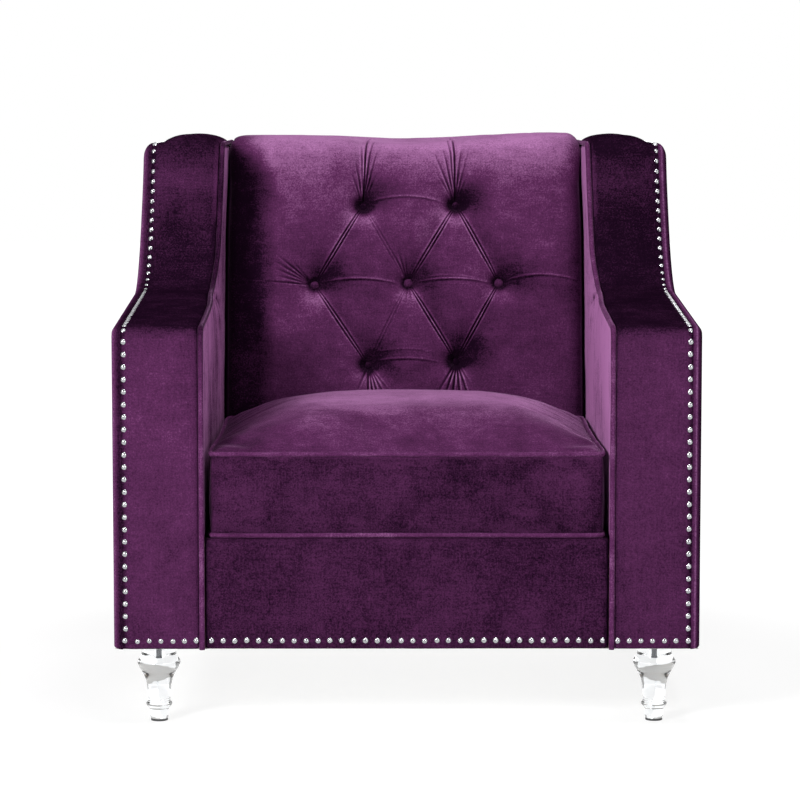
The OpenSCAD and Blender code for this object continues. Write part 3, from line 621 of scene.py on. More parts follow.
class Graph:
    """Nodes of one material, or of the world."""

    def __init__(self, name: str, world: bool = False) -> None:
        """Starts with only a plain shader and the output.

        Args:
            name: Name of the material or the world.
            world: Whether it is the world.
        """
        self.owner = (bpy.data.worlds if world else bpy.data.materials).new(name)
        self.owner.use_nodes = True
        self.tree = self.owner.node_tree
        self.shader = self.tree.nodes["Background" if world else "Principled BSDF"]
        self.plain = Value(self, self.shader.outputs[0])
        self.end = self.tree.nodes["World Output" if world else "Material Output"].inputs[0]
        self.object = self.add("ShaderNodeTexCoord", {}, {}, "Object")

    def add(self, kind: str, settings: dict, inputs: dict, output: object = 0) -> Value:
        """Adds a node.

        Args:
            kind: Type of the node.
            settings: Its properties, set first, with "stops" for a ramp's places and colours.
            inputs: Values or links for its sockets, by name or number.
            output: Name or number of the output that is wanted.

        Returns:
            That output.
        """
        node = self.tree.nodes.new(kind)
        for name, value in settings.items():
            if name == "stops":
                elements = node.color_ramp.elements
                while len(elements) < len(value):
                    elements.new(0.5)
                for element, (place, colour) in zip(elements, value):
                    element.position, element.color = place, (*colour, 1.0)
            else:
                setattr(node, name, value)
        for name, value in inputs.items():
            self.feed(node.inputs[name], value)
        return Value(self, node.outputs[output])

    def feed(self, socket: bpy.types.NodeSocket, value: object) -> None:
        """Links a Value to a socket, or sets a plain number or colour on it.

        Args:
            socket: The socket.
            value: The Value, number or colour.
        """
        if isinstance(value, Value):
            self.tree.links.new(value.socket, socket)
        elif isinstance(value, (tuple, list)) and len(value) == 3 and socket.type == "RGBA":
            socket.default_value = (*value, 1.0)
        else:
            socket.default_value = value

    def mix(self, share: object, first: object, second: object) -> Value:
        """Mixes two colours."""
        return self.add("ShaderNodeMix", {"data_type": "RGBA"},
                        {"Factor": share, 6: first, 7: second}, 2)

    def noise(self, scale: float, detail: float = 2.0, roughness: float = 0.5,
              distortion: float = 0.0, stretch: Sequence[float] = (1, 1, 1),
              shift: Sequence[float] = (0, 0, 0)) -> Value:
        """Noise on object coordinates, about 0 to 1.

        Args:
            scale: Rough number of bumps in a metre.
            detail: Number of finer layers.
            roughness: Weight of those.
            distortion: How far they swirl.
            stretch: How much closer the bumps are along each axis.
            shift: Move of the pattern.

        Returns:
            The noise.
        """
        place = self.add("ShaderNodeMapping", {}, {"Vector": self.object, "Scale": tuple(stretch),
                                                   "Location": tuple(shift)})
        return self.add("ShaderNodeTexNoise", {}, {
            "Vector": place, "Scale": scale, "Detail": detail, "Roughness": roughness,
            "Distortion": distortion})

    def bump(self, height: Value, strength: float, distance: float) -> None:
        """Gives the shader a bumped normal."""
        self.shade(Normal=self.add("ShaderNodeBump", {}, {
            "Height": height, "Strength": strength, "Distance": distance}))

    def shade(self, **sockets: object) -> None:
        """Feeds sockets of the shader, spaces in their names written as underscores.

        Args:
            sockets: Their values or links.
        """
        for name, value in sockets.items():
            self.feed(self.shader.inputs[name.replace("_", " ")], value)

    def mix_shaders(self, share: Value, first: Value, second: Value) -> None:
        """Ends the graph in a mix of two shaders."""
        self.feed(self.end, self.add("ShaderNodeMixShader", {}, {0: share, 1: first, 2: second}))


@dataclass(frozen=True)
class Velvet:
    """Short-pile velvet whose pile lies lighter and darker in patches, with painted light and shade
    stored on each piece's points; lift gives lighter or darker copies of it as painted light and
    shade.
    """

    name: str
    lift: float = 1.0
    seed: float = 0.0
    contrast: float = 1.0
    sheen: float = 0.30
    dark: tuple[float, float, float] = (0.0085, 0.0022, 0.0088)
    middle: tuple[float, float, float] = (0.094, 0.0225, 0.0835)
    light: tuple[float, float, float] = (0.370, 0.155, 0.345)

    def make(self) -> bpy.types.Material:
        """Builds the material.

        Returns:
            The material.
        """
        g = Graph(self.name)
        shift = (self.seed, 0.7 * self.seed, 1.3 * self.seed)
        patches = g.noise(9.0, 3.0, 0.55, 0.7, shift=shift)
        crushed = g.noise(34.0, 4.0, 0.62, 0.5, (1.0, 1.0, 1.5), shift)
        weft = g.noise(26.0, 3.0, 0.7, 0.0, (1.0, 1.0, 16.0), shift)
        warp = g.noise(26.0, 3.0, 0.7, 0.0, (16.0, 10.0, 1.0), shift)
        pile = g.noise(430.0, 3.0, 0.75)
        # The point attribute read here holds each piece's painted light and shade, with some
        # brushed pile tone; it moves the tone that picks the colour.
        nap = g.add("ShaderNodeAttribute", {"attribute_name": "nap"}, {}, "Fac")
        tone = (0.5 + nap * 0.5 + (patches - 0.5) * (0.50 * self.contrast)
                + (crushed - 0.5) * (0.42 * self.contrast) + (weft - 0.5) * 0.20
                + (warp - 0.5) * 0.18 + (pile - 0.5) * 0.85 + (self.lift - 1.0)).clamped()
        colour = g.add("ShaderNodeValToRGB", {"stops": [
            (0.0, self.dark), (0.5, self.middle), (1.0, self.light)]}, {"Fac": tone})
        g.shade(Base_Color=colour, Roughness=0.78 - tone * 0.22)
        g.shade(Sheen_Weight=self.sheen, Sheen_Roughness=0.30, Sheen_Tint=(0.70, 0.36, 0.67),
                Specular_IOR_Level=0.0)
        g.bump(pile * 1.1 + weft * 0.9 + warp * 0.7 + crushed * 2.0, 0.4, 0.0010)
        return g.owner


@dataclass(frozen=True)
class Metal:
    """Plated or bare metal with fine scratches or drawn grain."""

    name: str
    colour: tuple[float, float, float] = (0.82, 0.82, 0.84)
    tarnish: tuple[float, float, float] = (0.60, 0.60, 0.63)
    roughness: float = 0.12
    grain: float = 300.0

    def make(self) -> bpy.types.Material:
        """Builds the material.

        Returns:
            The material.
        """
        g = Graph(self.name)
        spots = g.noise(self.grain / 4, 3.0, 0.6)
        fine = g.noise(self.grain * 4, 2.0, 0.6)
        g.shade(Base_Color=g.mix(spots.power(2.0), self.colour, self.tarnish), Metallic=1.0,
                Roughness=self.roughness + fine * 0.5 * self.roughness)
        g.bump(fine, 0.15, 0.0002)
        return g.owner


@dataclass(frozen=True)
class Acrylic:
    """Clear polished acrylic."""

    name: str = "clear_turned_acrylic"

    def make(self) -> bpy.types.Material:
        """Builds the material.

        Returns:
            The material.
        """
        g = Graph(self.name)
        haze = g.noise(180.0, 3.0, 0.6)
        g.shade(Base_Color=g.mix(haze, (0.97, 0.98, 0.99), (0.93, 0.95, 0.96)),
                Roughness=0.015 + haze * 0.02, Transmission_Weight=1.0, IOR=1.49)
        return g.owner


@dataclass(frozen=True)
class Wood:
    """Sawn timber or plywood for the frame."""

    name: str
    light: tuple[float, float, float] = (0.56, 0.39, 0.22)
    dark: tuple[float, float, float] = (0.33, 0.20, 0.10)
    stretch: tuple[float, float, float] = (2.0, 22.0, 22.0)

    def make(self) -> bpy.types.Material:
        """Builds the material.

        Returns:
            The material.
        """
        g = Graph(self.name)
        grain = g.noise(6.0, 5.0, 0.6, 0.6, self.stretch)
        fine = g.noise(60.0, 3.0, 0.6, 0.0, self.stretch)
        g.shade(Base_Color=g.mix((grain * 0.7 + fine * 0.3).clamped(), self.light, self.dark),
                Roughness=0.62 + fine * 0.2)
        g.bump(fine + grain, 0.3, 0.0006)
        return g.owner


PLYWOOD = Wood("plywood", (0.62, 0.46, 0.28), (0.42, 0.28, 0.15), (9.0, 2.0, 4.0))


@dataclass(frozen=True)
class PlainCloth:
    """Plain-woven burlap, webbing or lining cloth."""

    name: str
    light: tuple[float, float, float] = (0.42, 0.32, 0.20)
    dark: tuple[float, float, float] = (0.20, 0.14, 0.08)
    threads_per_m: float = 420.0

    def make(self) -> bpy.types.Material:
        """Builds the material.

        Returns:
            The material.
        """
        g = Graph(self.name)
        x, y, z = (g.add("ShaderNodeSeparateXYZ", {}, {"Vector": g.object}, k) for k in range(3))
        turns = 2 * math.pi * self.threads_per_m
        across, along = (x * turns).sine(), ((y + z) * turns).sine()
        weave = across * along * 0.5 + 0.5
        slub = g.noise(120.0, 3.0, 0.6)
        g.shade(Base_Color=g.mix((weave * 0.6 + slub * 0.5).clamped(), self.dark, self.light),
                Roughness=0.85 + slub * 0.1)
        g.bump(weave + slub, 0.4, 0.0008)
        return g.owner


@dataclass(frozen=True)
class Moulded:
    """Moulded nylon with a faint texture."""

    name: str
    colour: tuple[float, float, float] = (0.03, 0.03, 0.032)

    def make(self) -> bpy.types.Material:
        """Builds the material.

        Returns:
            The material.
        """
        g = Graph(self.name)
        grain = g.noise(700.0, 2.0, 0.6)
        pale = tuple(min(1.0, c * 1.7) for c in self.colour)
        g.shade(Base_Color=g.mix(grain, self.colour, pale), Roughness=0.4 + grain * 0.2)
        g.bump(grain, 0.2, 0.0003)
        return g.owner


class Workshop:
    """Holds the finishes and puts finished pieces on the chair."""

    def __init__(self) -> None:
        """Starts with no finishes made."""
        self.made: dict[str, bpy.types.Material] = {}

    def finish(self, spec: object) -> bpy.types.Material:
        """Makes a finish once and returns it.

        Args:
            spec: The finish.

        Returns:
            Its material.
        """
        if spec.name not in self.made:
            self.made[spec.name] = spec.make()
        return self.made[spec.name]

    def place(self, obj: Obj, spec: object, slot: str, body: Body = Body.CHAIR,
              nodes: Sequence[str] = (), fill: float | None = None) -> Obj:
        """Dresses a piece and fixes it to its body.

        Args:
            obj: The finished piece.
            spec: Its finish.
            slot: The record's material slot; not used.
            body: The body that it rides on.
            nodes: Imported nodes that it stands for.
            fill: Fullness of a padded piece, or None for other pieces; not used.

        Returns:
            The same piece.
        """
        obj.data.materials.clear()
        obj.data.materials.append(self.finish(spec))
        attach(obj, body.value)
        if nodes:
            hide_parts(*nodes)
        LOG.info("%s: %d faces on %s", obj.name, len(obj.data.polygons), body.value)
        return obj


@dataclass
class Arm:
    """One arm with its wing: band, side panel, inside panel and welt."""

    side: Side
    shop: Workshop
    cloth_t: float = 2.0
    edge_r: float = 14.0
    corner_drop: float = 5.0
    sweep_rise: float = 4.0
    cell: float = 9.0
    seam_xs: tuple[float, ...] = (300.3, 301.4, 303.2, 306.0, 310.5)
    field_xs: tuple[float, float, int] = (317.0, 398.0, 15)
    rim_xs: tuple[float, ...] = (403.0, 406.5, 409.0, 410.5, 411.6)
    pull_x: float = 405.0
    folds_at: tuple[float, float] = (405.0, 612.0)
    inside_rim: tuple[tuple[float, float], ...] = (
        (6.2, 299.6), (6.4, 297.6), (7.4, 295.8), (9.2, 294.8), (12.0, 294.2), (15.5, 293.9))
    sizes: ChairSizes = SIZES

    def crown(self, steps: int) -> Array:
        """Rise of the band's middle at each station of the outline.

        Args:
            steps: Number of stations.

        Returns:
            One rise for each station.
        """
        m = OUTLINE.marks()
        return through([(0, 1.0), (6, 1.8), (m["nose"] - 2, 1.8), (m["top"], 2.0),
                        (m["sweep"], 3.0), (m["wing"], 4.5), (m["corner"], 8.0),
                        (m["crest"], 12.5), (m["rear"], 11.0), (steps - 1, 1.5)], np.arange(steps))

    def band(self) -> Obj:
        """Boxing band over the front, arm top, wing front and wing top.

        Returns:
            The closed band.
        """
        s, m = self.sizes, OUTLINE.marks()
        low = s.base_z + 4.0
        under = np.array([[12.0, s.base_z + 0.8], [4.0, s.base_z + 0.8], [1.2, s.base_z + 1.6]])
        line = np.vstack([under, OUTLINE.line(0, low)])
        out = np.vstack([[[0.0, -1.0], [0.0, -1.0], [-0.7, -0.7]], OUTLINE.normals(low)])
        station = np.arange(len(line)) - len(under)
        x = np.concatenate([self.seam_xs, np.linspace(*self.field_xs), self.rim_xs])
        w = (x - x[0]) / (s.x_nail - x[0])
        dome = np.clip(1 - np.abs(2 * w - 1) ** 2.3, 0, 1) ** 0.85
        narrow = np.clip(1 - np.abs((w - 0.44) / 0.42) ** 2.2, 0, 1) ** 0.8
        over = ramp(station, m["corner"], m["corner"] + 9)[:, None]
        dome = dome[None] * (1 - over) + 1.12 * narrow[None] * over
        crown = np.concatenate([[0, 0, 0.3], self.crown(len(line) - len(under))])
        run = run_lengths(line)
        pulls = 0.5 + 0.5 * np.cos(2 * math.pi * (run - run[len(under)]) / s.nail_pitch)
        rise = crown[:, None] * dome
        rise -= 3.0 * np.exp(-(x - x[0]) / 2.4)[None]
        rise -= (0.35 * bell(x - s.x_nail, 6.0)[None]
                 + 0.7 * pulls[:, None] * bell(x - self.pull_x, 5.0)[None])
        rise[:, -1] -= 1.3
        grid = np.dstack(np.meshgrid(run, x, indexing="ij")).reshape(-1, 2)
        uneven = ripple(grid, 60, 11 + self.side.value) * 0.7 + ripple(grid, 17, 21) * 0.12
        rise += uneven.reshape(rise.shape) * np.clip(dome * 1.4, 0, 1)
        rise[:len(under)] = np.minimum(rise[:len(under)], 0.4)
        side_view = line[:, None] + rise[..., None] * out[:, None]
        points = np.dstack([np.broadcast_to(x, rise.shape), side_view[..., 0], side_view[..., 1]])
        points = leaned(mirrored(points.reshape(-1, 3), self.side))
        piece = new_piece(f"{self.side.word}_arm_band_velvet", points,
                          grid_faces(len(line), len(x), flip=self.side is Side.LEFT))
        set_pile_and_painted_light(piece, self.band_nap(station, x).ravel())
        return thickened(piece, self.cloth_t)

    def band_nap(self, station: Array, x: Array) -> Array:
        """Painted light and shade on the band: painted shade darkest on the arm's top, along the
        sweep and over the wing, deeper on the right arm, with painted shade by the seam and nails
        and a thin painted highlight by the wing's welt.

        Args:
            station: Places along the outline.
            x: Places across the band.

        Returns:
            Values of painted light and shade, one row for each station.
        """
        m = OUTLINE.marks()
        # Painted shade along the band's outline, darkest on the arm's top, along the sweep and over
        # the wing.
        nap = through([(0, -0.36), (m["nose"] - 8, -0.22), (m["nose"], -0.32),
                       (m["nose"] + 8, -0.95), (m["sweep"], -1.0), (m["wing"], -0.88),
                       (m["corner"] - 5, -0.50), (m["corner"] + 3, -0.85), (m["crest"], -0.95),
                       (len(station) - 4, -0.5)], station)
        wing = ramp(station, m["wing"], m["wing"] + 4)
        # Painted shade deeper on the right arm, which faces away from the key lamp.
        nap -= (0.08 + 0.12 * wing) * (self.side is Side.RIGHT)
        # Painted shade by the inner seam and along the nails, and a thin painted highlight by the
        # wing's welt.
        return (nap[:, None] - 0.45 * np.exp(-(x - x[0]) / 3)[None]
                - 0.55 * bell(x - 410.5, 4.5)[None]
                + 0.9 * wing[:, None] * bell(x - 304.4, 1.6)[None])

    def closed_loop(self, inset: float) -> Array:
        """Outline with the rear and bottom edges, for the side panel.

        Args:
            inset: Distance inside the faces.

        Returns:
            Points of the ring, as (y, z).
        """
        s = self.sizes
        low = s.base_z + 0.8 + inset / 3
        line = OUTLINE.line(inset, low)
        foot = np.array([s.y_rear(low) - inset, low])
        return np.vstack([line, straight(line[-1], foot, 44), foot[None],
                          straight(foot, line[0], 50)])

    def inside_loop(self, inset: float) -> Array:
        """Outline of the inside panel, closed by the back's frame plane and the deck.

        Args:
            inset: Distance inside the faces.

        Returns:
            Points of the ring, as (y, z).
        """
        s = self.sizes
        crest = OUTLINE.marks()["crest"]
        line = OUTLINE.line(inset, s.deck_z)[:crest + 1]
        top_z = s.wing_h - inset
        head = np.array([s.y_frame(top_z) - s.gap, top_z])
        foot = np.array([s.y_frame(s.deck_z) - s.gap, s.deck_z])
        return np.vstack([line, straight(line[-1], head, 10), head[None],
                          straight(head, foot, 34), foot[None], straight(foot, line[0], 40)])

    def panel(self, name: str, loop: Callable[[float], Array],
              rings: Sequence[tuple[float, float]], facing: int, puff: float) -> Obj:
        """Flat cloth panel with a rounded rim and a faintly puffed, uneven field.

        Args:
            name: Name of the piece.
            loop: Gives the closed outline for an inset.
            rings: Inset and x of each ring of the rim, from the outside in.
            facing: 1 where the cloth faces +x on the right arm, and -1 where it faces -x.
            puff: Rise of the field's middle.

        Returns:
            The closed panel.
        """
        loops = [loop(t) for t, _ in rings]
        n = len(loops[0])
        points = np.vstack([np.column_stack([np.full(n, x), p]) for (_, x), p in zip(rings, loops)])
        flip = (facing * self.side.value) > 0
        faces = grid_faces(len(rings), n, ring=True, flip=flip)
        last = list(range((len(rings) - 1) * n, len(rings) * n))
        piece = new_piece(name, mirrored(points, self.side),
                          list(faces) + [last[::-1] if flip else last])
        cut_cells(piece, self.cell, (1, 2))
        with editing(piece):
            bpy.ops.mesh.select_all(action="SELECT")
            bpy.ops.mesh.remove_doubles(threshold=0.02 * MM)
        co = read_points(piece)
        edge = distance_to_line(co[:, 1:], np.vstack([loops[-1], loops[-1][:1]]))
        in_field = np.abs(np.abs(co[:, 0]) - rings[-1][1]) < 0.01
        lift = in_field * (puff * (1 - np.exp(-edge / 30))
                           + ramp(edge, 0, 25) * 0.8 * ripple(co[:, 1:], 75, 31 + facing))
        co[:, 0] += lift * facing * self.side.value
        if facing > 0:
            self.round_edge(piece, co)
        else:
            self.wrinkle(piece, co, in_field)
        write_points(piece, leaned(co))
        piece.data.shade_smooth()
        return thickened(piece, self.cloth_t)

    def round_edge(self, piece: Obj, co: Array) -> None:
        """Lifts the side panel's edge along the sweep, drops its top corner and paints its light
        and shade.

        Args:
            piece: The side panel.
            co: Its points, which are moved.
        """
        s = self.sizes
        past = np.abs(co[:, 0]) - s.x_nail
        edge = np.clip(past / s.nail_in, 0, 1)
        high = ramp(co[:, 2], 790, 830)
        sweep = ramp(co[:, 2], 555, 570) * ramp(co[:, 2], 760, 700)
        co[:, 2] += self.sweep_rise * np.sqrt(edge) * sweep - self.corner_drop * edge ** 2 * high
        # Painted light: on the left a highlight along the rounded edge and painted shade by the
        # nails; on the right a thin highlight on the edge and painted shade over the rest.
        if self.side is Side.LEFT:
            set_pile_and_painted_light(piece, 0.35 * bell(past - 13, 3.5) - 0.85 * bell(past - 3, 6) - 0.05)
        else:
            set_pile_and_painted_light(piece, 1.15 * bell(past - 6, 2.6) - 0.72)

    def wrinkle(self, piece: Obj, co: Array, in_field: Array) -> None:
        """Pulls the inside cloth into short folds at the foot of the wing, and paints its pile
        streaks and its light and shade.

        Args:
            piece: The inside panel.
            co: Its points, which are moved.
            in_field: Which points aren't on the rim.
        """
        y, z = co[:, 1] - self.folds_at[0], co[:, 2] - self.folds_at[1]
        reach, turn = np.hypot(y, z), np.arctan2(z, y)
        folds = (np.sin(17 * turn + reach / 60) * bell(reach - 42, 38)
                 * np.clip(-np.cos(turn + 0.5), -1, 1))
        folds += 0.7 * np.sin(z / 6.5 + y / 40) * bell(y - 45, 55) * bell(z - 20, 90)
        co[:, 0] -= self.side.value * in_field * 1.1 * folds
        brushed = ripple(np.column_stack([co[:, 1] * 1.6, co[:, 2] * 0.35]), 17, 33)
        broad = ripple(co[:, 1:], 95, 34)
        low = ramp(co[:, 2], 330, 250)
        # Random brushed streaks of pile, with painted light over the panel that is lighter on the
        # right arm, painted light and shade on the folds, and painted shade low down.
        set_pile_and_painted_light(piece, 0.70 + 0.08 * self.side.value + 0.22 * brushed + 0.18 * broad + 0.45 * folds
                - 0.3 * low)

    def build(self) -> None:
        """Builds and places the arm's pieces."""
        s, w = self.sizes, self.side.word
        velvet = Velvet("arm_velvet", seed=2.0, sheen=0.0, contrast=0.55)
        self.shop.place(self.band(), velvet, "velvet", nodes=[f"{w}_arm_band"], fill=0.85)
        turn = np.radians(np.linspace(0, 90, 8))
        rings = [(2.2, s.x_nail + 0.1), (0.6, s.x_nail + 0.4)]
        rings += [(self.edge_r * (1 - math.cos(a)), s.x_out - self.edge_r * (1 - math.sin(a)))
                  for a in turn]
        side = self.panel(f"{w}_side_velvet", self.closed_loop, rings, 1, 1.0)
        self.shop.place(side, velvet, "velvet", nodes=[f"{w}_side_cover"], fill=0.9)
        inside = self.panel(f"{w}_inside_velvet", self.inside_loop, self.inside_rim, -1, 0.8)
        # Both inside panels get a lighter copy of the velvet as painted light, the right one lifted
        # further; the left keeps the plain lift.
        brushed = Velvet(f"{w}_inside_velvet", 1.06 + 0.06 * self.side.value, 5.0, 1.1, 0.02,
                         light=(0.53, 0.215, 0.49))
        self.shop.place(inside, brushed, "velvet", nodes=[f"{w}_inside_cover", f"{w}_arm_pad"],
                        fill=0.8)
        path = OUTLINE.line(s.arm_welt_in, s.base_z, 12.0)
        x = self.side.value * (s.x_in + s.arm_welt_in)
        welt = tube(f"{w}_arm_piping", leaned(np.column_stack([np.full(len(path), x), path])),
                    s.arm_welt_r, (1, 0, 0))
        # Painted shade on the left piping as it rises up the wing; the piping's velvet is a
        # slightly lighter copy, painted light.
        high = ramp(read_points(welt)[:, 2], 480, 580)
        set_pile_and_painted_light(welt, -0.12 - (0.70 if self.side is Side.LEFT else 0.0) * high)
        self.shop.place(welt, Velvet("piping_velvet", lift=1.05, seed=8.0), "velvet",
                        nodes=[f"{w}_arm_welt"])


@dataclass(frozen=True)
class Button:
    """Place of one tufting button on the back's face."""

    u: float
    h: float
    deep: float = 0.0


@dataclass
class Relief:
    """Hollows of the tufted cloth and their painted light and shade, at places p, (u, h) on its
    face, as they build up.

    broad holds the cubes of the wide hollows, so that the deepest one rules where two meet.
    """

    p: Array
    broad: Array
    fine: Array
    nap: Array


@dataclass
class TuftedBack:
    """Button-tufted back pad with its roll over the top."""

    shop: Workshop
    pitch: float = 150.0
    low: float = 481.0
    rise: float = 127.0
    depth: float = 33.0
    side_r: float = 22.0
    side_in: float = 5.5
    button_r: float = 7.6
    cell: float = 3.4
    dimple: float = 9.0
    line_w: float = 1.2
    pleat_deep: float = 3.6
    valley_deep: float = 10.5
    valley_w: float = 21.0
    channel_deep: float = 8.0
    sizes: ChairSizes = SIZES
    buttons: list[Button] = field(default_factory=list)

    def __post_init__(self) -> None:
        """Lays out the rows of two, three and two buttons."""
        rows = (((-0.5, 15.5, 0.6, 5), (0.5, 8.5, 7.0, 7)),
                ((-1, 3.1, 1.9, 0), (0, 5.8, 5.5, 0), (1, 3.2, 5.8, 1)),
                ((-0.5, 6.5, 3.2, 7), (0.5, 8.7, 4.8, 7)))
        for row, places in enumerate(rows):
            for k, du, dh, deep in places:
                self.buttons.append(Button(k * self.pitch + du, self.low + row * self.rise + dh,
                                           deep))

    @property
    def half_w(self) -> float:
        """Half width of the pad, a little inside the arms' covers."""
        return self.sizes.x_apron - self.side_in

    @property
    def top_row(self) -> float:
        """Height of the top row of buttons, before each is set a little off it."""
        return self.low + 2 * self.rise

    def side_roll(self, u: Array) -> Array:
        """How far the cloth turns back at the pad's two sides."""
        edge = np.clip((np.abs(u) - (self.half_w - self.side_r)) / self.side_r, 0, 1)
        return self.side_r * (1 - np.sqrt(np.clip(1 - edge ** 2, 0, 1)))

    def path(self) -> Array:
        """Side view of the pad's face: y, z, outward y, outward z and height on the face.

        Returns:
            One row for each point.
        """
        s = self.sizes
        tilt = math.radians(s.recline)
        roll_z = s.overall_h - s.roll_r
        roll = (s.y_face(roll_z) + s.roll_r / math.cos(tilt), roll_z)
        rear = (s.y_back - s.rear_roll_r, s.wing_h - s.wing_rear_r)
        face_top = roll_z + s.roll_r * math.sin(tilt)
        rows = [(s.seat_d, z, -1.0, 0.0) for z in np.arange(s.deck_z + 0.6, s.recline_z, 8.0)]
        rows += [(s.y_face(z), z, -math.cos(tilt), math.sin(tilt))
                 for z in np.arange(s.recline_z, face_top, 3.0)]
        for c, r, a0, a1, n in ((roll, s.roll_r, 180 - s.recline, 90, 18),
                                (rear, s.rear_roll_r, 90, 0, 12)):
            rows += [(p[0], p[1], math.cos(a), math.sin(a)) for p, a in
                     zip(arc(c, r, a0, a1, n), np.radians(np.linspace(a0, a1, n + 1)))]
        side = np.array(rows)
        run = run_lengths(side[:, :2])
        at_face = np.interp(s.recline_z, side[:, 1][:40], run[:40])
        height = s.recline_z + (run - at_face) * math.cos(tilt)
        return np.column_stack([side, height, run])

    def folds(self) -> list[tuple[Array, Array, float]]:
        """Strong pleats between neighbouring buttons: ends and strength.

        Returns:
            One row for each pleat.
        """
        b = [np.array([k.u, k.h]) for k in self.buttons]
        return [(b[5], b[2], 1.0), (b[6], b[3], 0.9), (b[6], b[4], 1.1), (b[2], b[0], 1.0),
                (b[3], b[1], 1.1), (b[4], b[1], 1.0), (b[5], b[3], 0.28), (b[3], b[0], 0.22)]

    def rays(self) -> list[tuple[Array, Array, float, float]]:
        """Short pleats that fan out from buttons: start, end, length and strength.

        Returns:
            One row for each pleat.
        """
        b = [np.array([k.u, k.h]) for k in self.buttons]
        fans = {
            5: [(87, 235, 1.9), (91, 118, 1.2), (99, 74, 1.2), (110, 54, 1.0), (82, 170, 1.3),
                (75, 96, 1.1), (66, 58, 0.8), (120, 34, 0.6)],
            6: [(92, 235, 1.9), (96, 170, 1.2), (103, 98, 1.3), (113, 92, 1.2), (122, 60, 0.8),
                (85, 104, 1.2), (77, 84, 1.0), (67, 50, 0.7)],
            2: [(142, 76, 1.2), (150, 74, 1.2), (158, 70, 1.1), (167, 64, 1.0), (176, 110, 0.9),
                (134, 50, 0.8)],
            4: [(8, 60, 0.6), (-6, 40, 0.4), (24, 44, 0.6)],
            0: [(-90, 80, 1.6), (-81, 80, 1.6), (-72, 80, 1.5), (-62, 76, 1.2), (-52, 60, 0.9),
                (-112, 50, 0.8)],
            1: [(-96, 80, 1.6), (-84, 80, 1.6), (-72, 80, 1.4), (-108, 74, 1.4), (-120, 66, 1.1),
                (-60, 50, 0.7)],
            3: [(118, 50, 0.9), (108, 54, 1.0), (97, 44, 0.7), (-80, 34, 0.4), (-98, 36, 0.4)],
        }
        return [(b[k], b[k] + length * np.array([math.cos(math.radians(a)),
                                                 math.sin(math.radians(a))]), length, strength)
                for k, rays in fans.items() for a, length, strength in rays]

    def creases(self) -> list[tuple[float, float, float, float, float]]:
        """Arched sideways creases: from u, to u, height, arch and strength.

        Returns:
            One row for each crease.
        """
        mid = self.low + self.rise
        return [(-142, -10, mid + 4, 7, 1.0), (10, 140, mid + 5, 6, 1.0),
                (16, 120, mid + 11, 5, 0.5), (158, 280, mid + 8, 9, 0.8),
                (-280, -160, mid + 3, 4, 0.6), (-66, 66, self.top_row + 7, 9, 0.7),
                (-62, 58, self.low + 4, 6, 0.8), (-56, 50, self.low + 18, 7, 0.4)]

    def pits(self, relief: Relief) -> None:
        """Adds the pit round each button, with its gathers and the painted light and shade on its
        sides.

        Args:
            relief: What it adds to, with its places.
        """
        u, h = relief.p.T
        for b in self.buttons:
            r = np.hypot(u - b.u, h - b.h)
            pit = ((self.depth + b.deep - self.dimple) * np.exp(-(r / 13.0) ** 1.3)
                   + self.dimple * bell(r, 42))
            relief.broad += pit ** 3
            turn = np.arctan2(h - b.h, u - b.u)
            pucker = np.cos(15 * turn + 3 * b.u) + 0.6 * np.cos(22 * turn + b.h)
            relief.fine += 0.55 * pucker * np.exp(-np.clip(r - 9, 0, None) / 8) * (r > 4)
            # Painted highlight below each button, painted shade up and to its right, and painted
            # shadow deep in the pit, more for deeper buttons.
            relief.nap += 0.35 * bell(r - 24, 15) * np.clip(-np.sin(turn) * 1.2, 0, 1)
            relief.nap -= 0.85 * bell(r - 14, 36) * np.clip(np.cos(turn - 0.55), 0, 1)
            relief.nap -= (0.8 + 0.08 * b.deep) * bell(r - 8, 5 + 0.5 * b.deep)

    def pleats(self, relief: Relief) -> None:
        """Adds the valleys between neighbouring buttons, each with a pair of folded edges and their
        painted light and shade.

        Args:
            relief: What it adds to, with its places.
        """
        for a, b, strength in self.folds():
            d, f = self._along(relief.p, a, b)
            inside = np.clip(np.sin(math.pi * np.clip(f, 0, 1)), 0, 1)
            relief.broad += (self.valley_deep * min(1.0, strength + 0.2) * bell(d, self.valley_w)
                             * (f > 0) * (f < 1)) ** 3
            spread = 0.8 + 1.6 * inside ** 0.7
            body = inside ** 0.35 * strength
            # Painted shade along the folded edges, painted highlights on the middle and outer
            # ridges, and one side of each valley painted lighter than the other.
            for at in (-spread, spread):
                relief.fine += self.pleat_deep * body * bell(d - at, self.line_w)
                relief.nap -= 1.2 * body * bell(d - at, self.line_w)
            relief.fine -= 2.1 * body * (bell(d, 0.9) + 0.6 * bell(np.abs(d) - 2.1 * spread, 1.6))
            relief.nap += body * (1.2 * bell(d, 0.8)
                                  + 0.6 * bell(np.abs(d) - 2.0 * spread, self.line_w))
            relief.nap += 0.16 * body * np.tanh(-d / 6) * bell(d, 26)

    def fans(self, relief: Relief) -> None:
        """Adds the short pleats that fan out from the buttons, with their painted light and shade.

        Args:
            relief: What it adds to, with its places.
        """
        for start, end, length, strength in self.rays():
            d, f = self._along(relief.p, start, end)
            grow = ramp(f * length, 6, 14) * np.clip(1 - f, 0, 1) ** 0.7 * strength
            grow *= (f > 0)
            relief.fine += self.pleat_deep * grow * bell(d, self.line_w + 0.6 * np.clip(f, 0, 1))
            relief.fine -= 1.5 * grow * bell(np.abs(d) - 2.8, 1.4)
            # Painted highlight beside each short pleat and painted shade in it.
            relief.nap += grow * (0.7 * bell(d - 2.4, 1.3) - 1.1 * bell(d, self.line_w))

